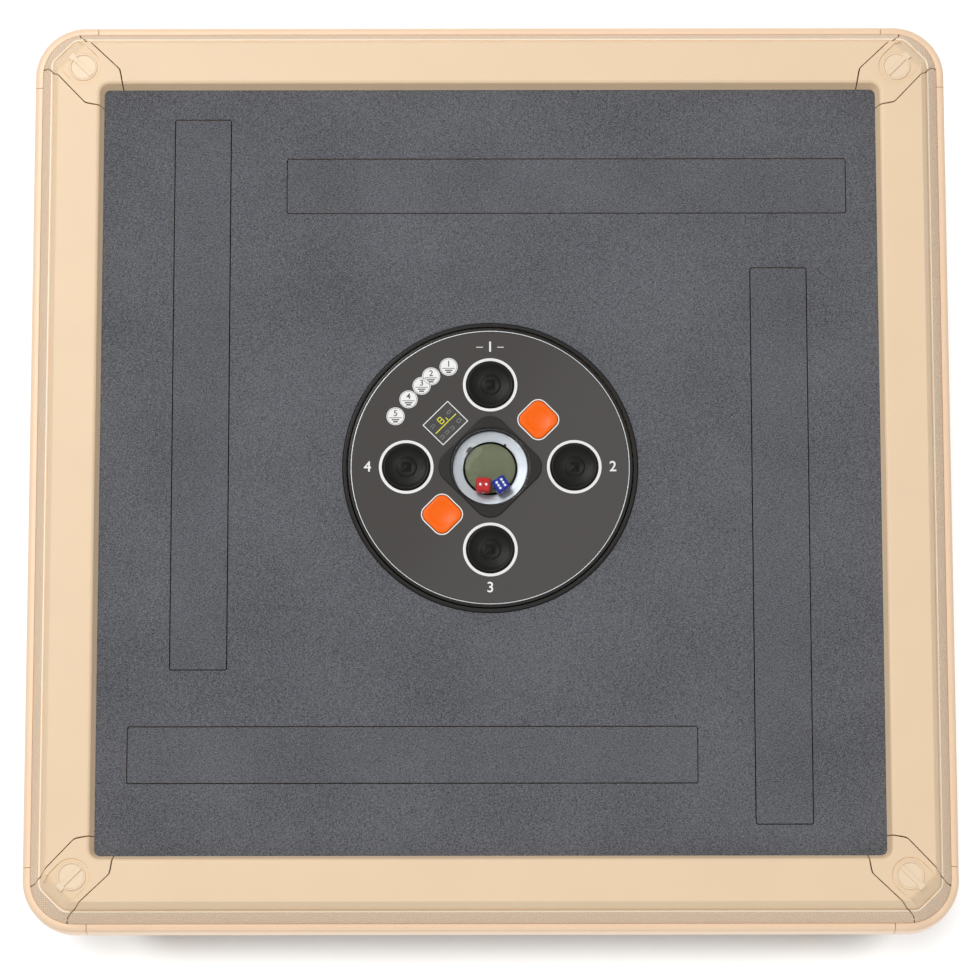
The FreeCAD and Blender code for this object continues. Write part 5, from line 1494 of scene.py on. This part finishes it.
@dataclass
class DiceDome:
    """The dome with its seat, its bowl ring, its plate and two dice."""

    seat_foot: float = 752.05
    seat_thick: float = 1.9
    seat_top: float = 754.0
    seat_half: float = 43.5
    seat_corner: float = 18.0
    seat_hole: float = 41.9
    cup: Sequence[Point] = ((28.6, 741.05), (42.0, 741.05), (42.0, 753.0), (39.9, 753.0),
                            (39.9, 742.45), (28.6, 742.45))
    ring: Sequence[Point] = ((28.6, 742.6), (39.4, 742.6), (39.4, 745.4), (38.4, 745.5),
                             (30.5, 743.9), (28.6, 743.2))
    plate_top: float = 744.8
    plate_side: Sequence[Point] = ((3.95, -1.95), (26.2, -1.95), (26.2, -0.6), (25.7, -0.05),
                                   (0.0, -0.02))
    spindle_foot: float = 716.2
    dice: Sequence[Place] = ((-7.3, -20.1, 0.0), (11.1, -19.5, 33.0))
    die_side: float = 15.0
    die_lift: float = 0.02
    pip: float = 1.35
    pip_sink: float = 0.02
    pip_spread: Point = (3.1, 3.5)
    dome_rise: float = 10.1
    dome_radius: float = 41.9
    dome_thick: float = 1.4
    dome_steps: int = 12
    dome_fullness: float = 0.75

    def seat(self) -> None:
        """Builds the black seat and the cup that hangs from it."""
        shape = Shape()
        shape.rounded(self.seat_half, self.seat_half, self.seat_corner, self.seat_foot,
                      turn=45.0, steps=16)
        shape.circle(self.seat_hole, self.seat_foot)
        shape.fill().thicken(self.seat_thick).soften(0.7, 4, 40.0, above(753.5))
        shape.join(Shape().lathe(self.cup))
        shape.piece("black_dome_seat", "console", SEAT_BLACK, slot="black_plastic",
                    replaces=["dome_seat"])

    def bowl(self) -> None:
        """Turns the bright ring round the plate, with two dark clips at its inner edge."""
        ring = Shape().lathe(self.ring, 128).soften(0.2, 2, 15.0)
        ring.piece("bowl_ring", "console", BOWL_SILVER, slot="silver", replaces=["dome_ring"])
        clip = Shape().block((7.0, 3.4, 1.6), (0.0, 29.6, 743.7)).soften(0.4, 2).move(turn=48.0)
        clip.join(Shape().block((2.4, 2.0, 1.2), (0.0, 29.3, 743.9)).move(turn=-32.0))
        clip.piece("bowl_clips", "console", SEAT_BLACK, slot="black_plastic")

    def plate(self) -> None:
        """Turns the round plate on its spindle."""
        foot, radius = self.spindle_foot, self.plate_side[0][0]
        side = [(out, self.plate_top + z) for out, z in self.plate_side]
        plate = Shape().lathe([(0.0, foot), (radius, foot), *side], 128)
        plate.piece("olive_plate", "dice_shaker", PLATE_OLIVE, slot="plate",
                    replaces=["dice_plate"])

    def faces(self, top: int) -> dict[int, Matrix]:
        """Gives the turn from a die's top to the face of each number.

        Args:
            top: The number on the top face.

        Returns:
            The turn of each number.
        """
        turns = [Matrix.Rotation(math.pi / 2, 4, "X"), Matrix.Rotation(math.pi / 2, 4, "Y"),
                 Matrix.Rotation(-math.pi / 2, 4, "Y"), Matrix.Rotation(-math.pi / 2, 4, "X")]
        rest = [number for number in range(1, 7) if number not in (top, 7 - top)]
        return {top: Matrix.Identity(4), 7 - top: Matrix.Rotation(math.pi, 4, "X"),
                **dict(zip(rest, turns))}

    def die(self, name: str, colour: Finish, place: Place, top: int) -> None:
        """Builds one die with sunk-looking white pips.

        Args:
            name: The die's name.
            colour: Its colour.
            place: Its x, its y and its turn in degrees.
            top: The number on its top face.
        """
        half = self.die_side / 2
        cube = Shape().block((self.die_side,) * 3, (0.0, 0.0, 0.0)).soften(2.1, 5, 25.0)
        four = [(-1, -1), (1, -1), (-1, 1), (1, 1)]
        layout = {1: [(0, 0)], 2: [(-1, 0), (1, 0)], 3: [(-1, -1), (0, 0), (1, 1)], 4: four,
                  5: [*four, (0, 0)], 6: [(x, y) for y in (-1, 0, 1) for x in (-0.95, 0.95)]}
        for number, turn in self.faces(top).items():
            for x, y in layout[number]:
                middle = (x * self.pip_spread[0], y * self.pip_spread[1], half - self.pip_sink)
                cube.join(Shape().ball(self.pip, middle, 0.12).transform(turn).paint(1))
        x, y, spin = place
        cube.move(x, y, self.plate_top + half + self.die_lift, spin)
        cube.piece(name, "dice_shaker", colour, PIP_WHITE, slot="dice", replaces=["dice"],
                   smooth=60.0)

    def dome(self) -> None:
        """Turns the clear dome."""
        line = []
        steps = range(self.dome_steps + 1)
        for inset, turns in ((0.0, steps), (self.dome_thick, reversed(steps))):
            radius, height = self.dome_radius - inset, self.dome_rise - inset
            for step in turns:
                angle = step / self.dome_steps * math.pi / 2
                wide = radius * math.cos(angle) ** self.dome_fullness
                line.append((wide if step < self.dome_steps else 0.0,
                             self.seat_top + height * math.sin(angle)))
        Shape().lathe(line).piece("clear_dome", "console", ACRYLIC, slot="dome",
                                  replaces=["dice_dome"], smooth=60.0)

    def build(self) -> None:
        """Builds the dome and all that it covers."""
        self.seat()
        self.bowl()
        self.plate()
        self.die("red_die", DIE_RED, self.dice[0], 2)
        self.die("blue_die", DIE_BLUE, self.dice[1], 6)
        self.dome()


@dataclass
class Mechanism:
    """The nodes that keep their own form and get a finish and softened edges."""

    finishes: dict[str, Finish] = field(default_factory=lambda: {
        "playfield_board": BOARD, "lift_guides": COAT, "tile_channels": NYLON,
        "drum_funnel": NYLON, "turntable": DISC, "drive_wheel": TYRE,
        "lift_column": ALUMINIUM, "column_guide": STEEL, "centre_pinion": STEEL,
        "gearmotors": MOTOR, "console_housing": GLOSS_BLACK, "base_pan": COAT,
        "side_panels": COVER, "legs": LEG, "feet": TYRE, "power_inlet": SEAT_BLACK,
        "control_board": CARD})
    of_sides: dict[str, Finish] = field(default_factory=lambda: {
        "lift_deck_": NYLON, "lift_carriage_": STEEL, "lift_pinion_": NYLON,
        "tile_pusher_": SEAT_BLACK})
    widths: dict[str, float] = field(default_factory=lambda: {
        "legs": 0.0012, "side_panels": 0.0006, "feet": 0.0008, "base_pan": 0.0005})
    width: float = 0.0003
    merge: float = 0.000005
    angle: float = 40.0

    def build(self) -> None:
        """Dresses every node that no new piece stands for."""
        finishes = dict(self.finishes)
        for start, finish in self.of_sides.items():
            finishes.update({start + side: finish for side in SIDES})
        finishes.update({"pickup_wheel_" + corner: TYRE for corner in CORNERS})
        for name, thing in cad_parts.items():
            if name in finishes:
                thing.data.materials.clear()
                thing.data.materials.append(finishes[name].build())
                self.soften(thing, self.widths.get(name, self.width))
        LOG.info("%d nodes are dressed", len(finishes))

    def soften(self, thing: Thing, width: float) -> None:
        """Joins a node's triangles and rounds its sharp edges, both as modifiers.

        Args:
            thing: The node.
            width: The width of the rounding in metres.
        """
        weld = thing.modifiers.new("joined", "WELD")
        weld.merge_threshold = self.merge
        bevel = thing.modifiers.new("rounded", "BEVEL")
        bevel.width = width
        bevel.segments = 2
        bevel.limit_method = "ANGLE"
        bevel.angle_limit = math.radians(self.angle)
        bevel.use_clamp_overlap = True
        bevel.harden_normals = False
        even_faces(thing)


def main() -> None:
    """Builds the table's pieces in order and sets them in the studio."""
    logging.basicConfig(level=logging.INFO, format="%(name)s: %(message)s")
    for part in (Studio, Mechanism, Playfield, RimMoulding, BoltCaps, EdgeTrim, Console, DiceDome):
        part().build()


if __name__ == "__main__":
    main()
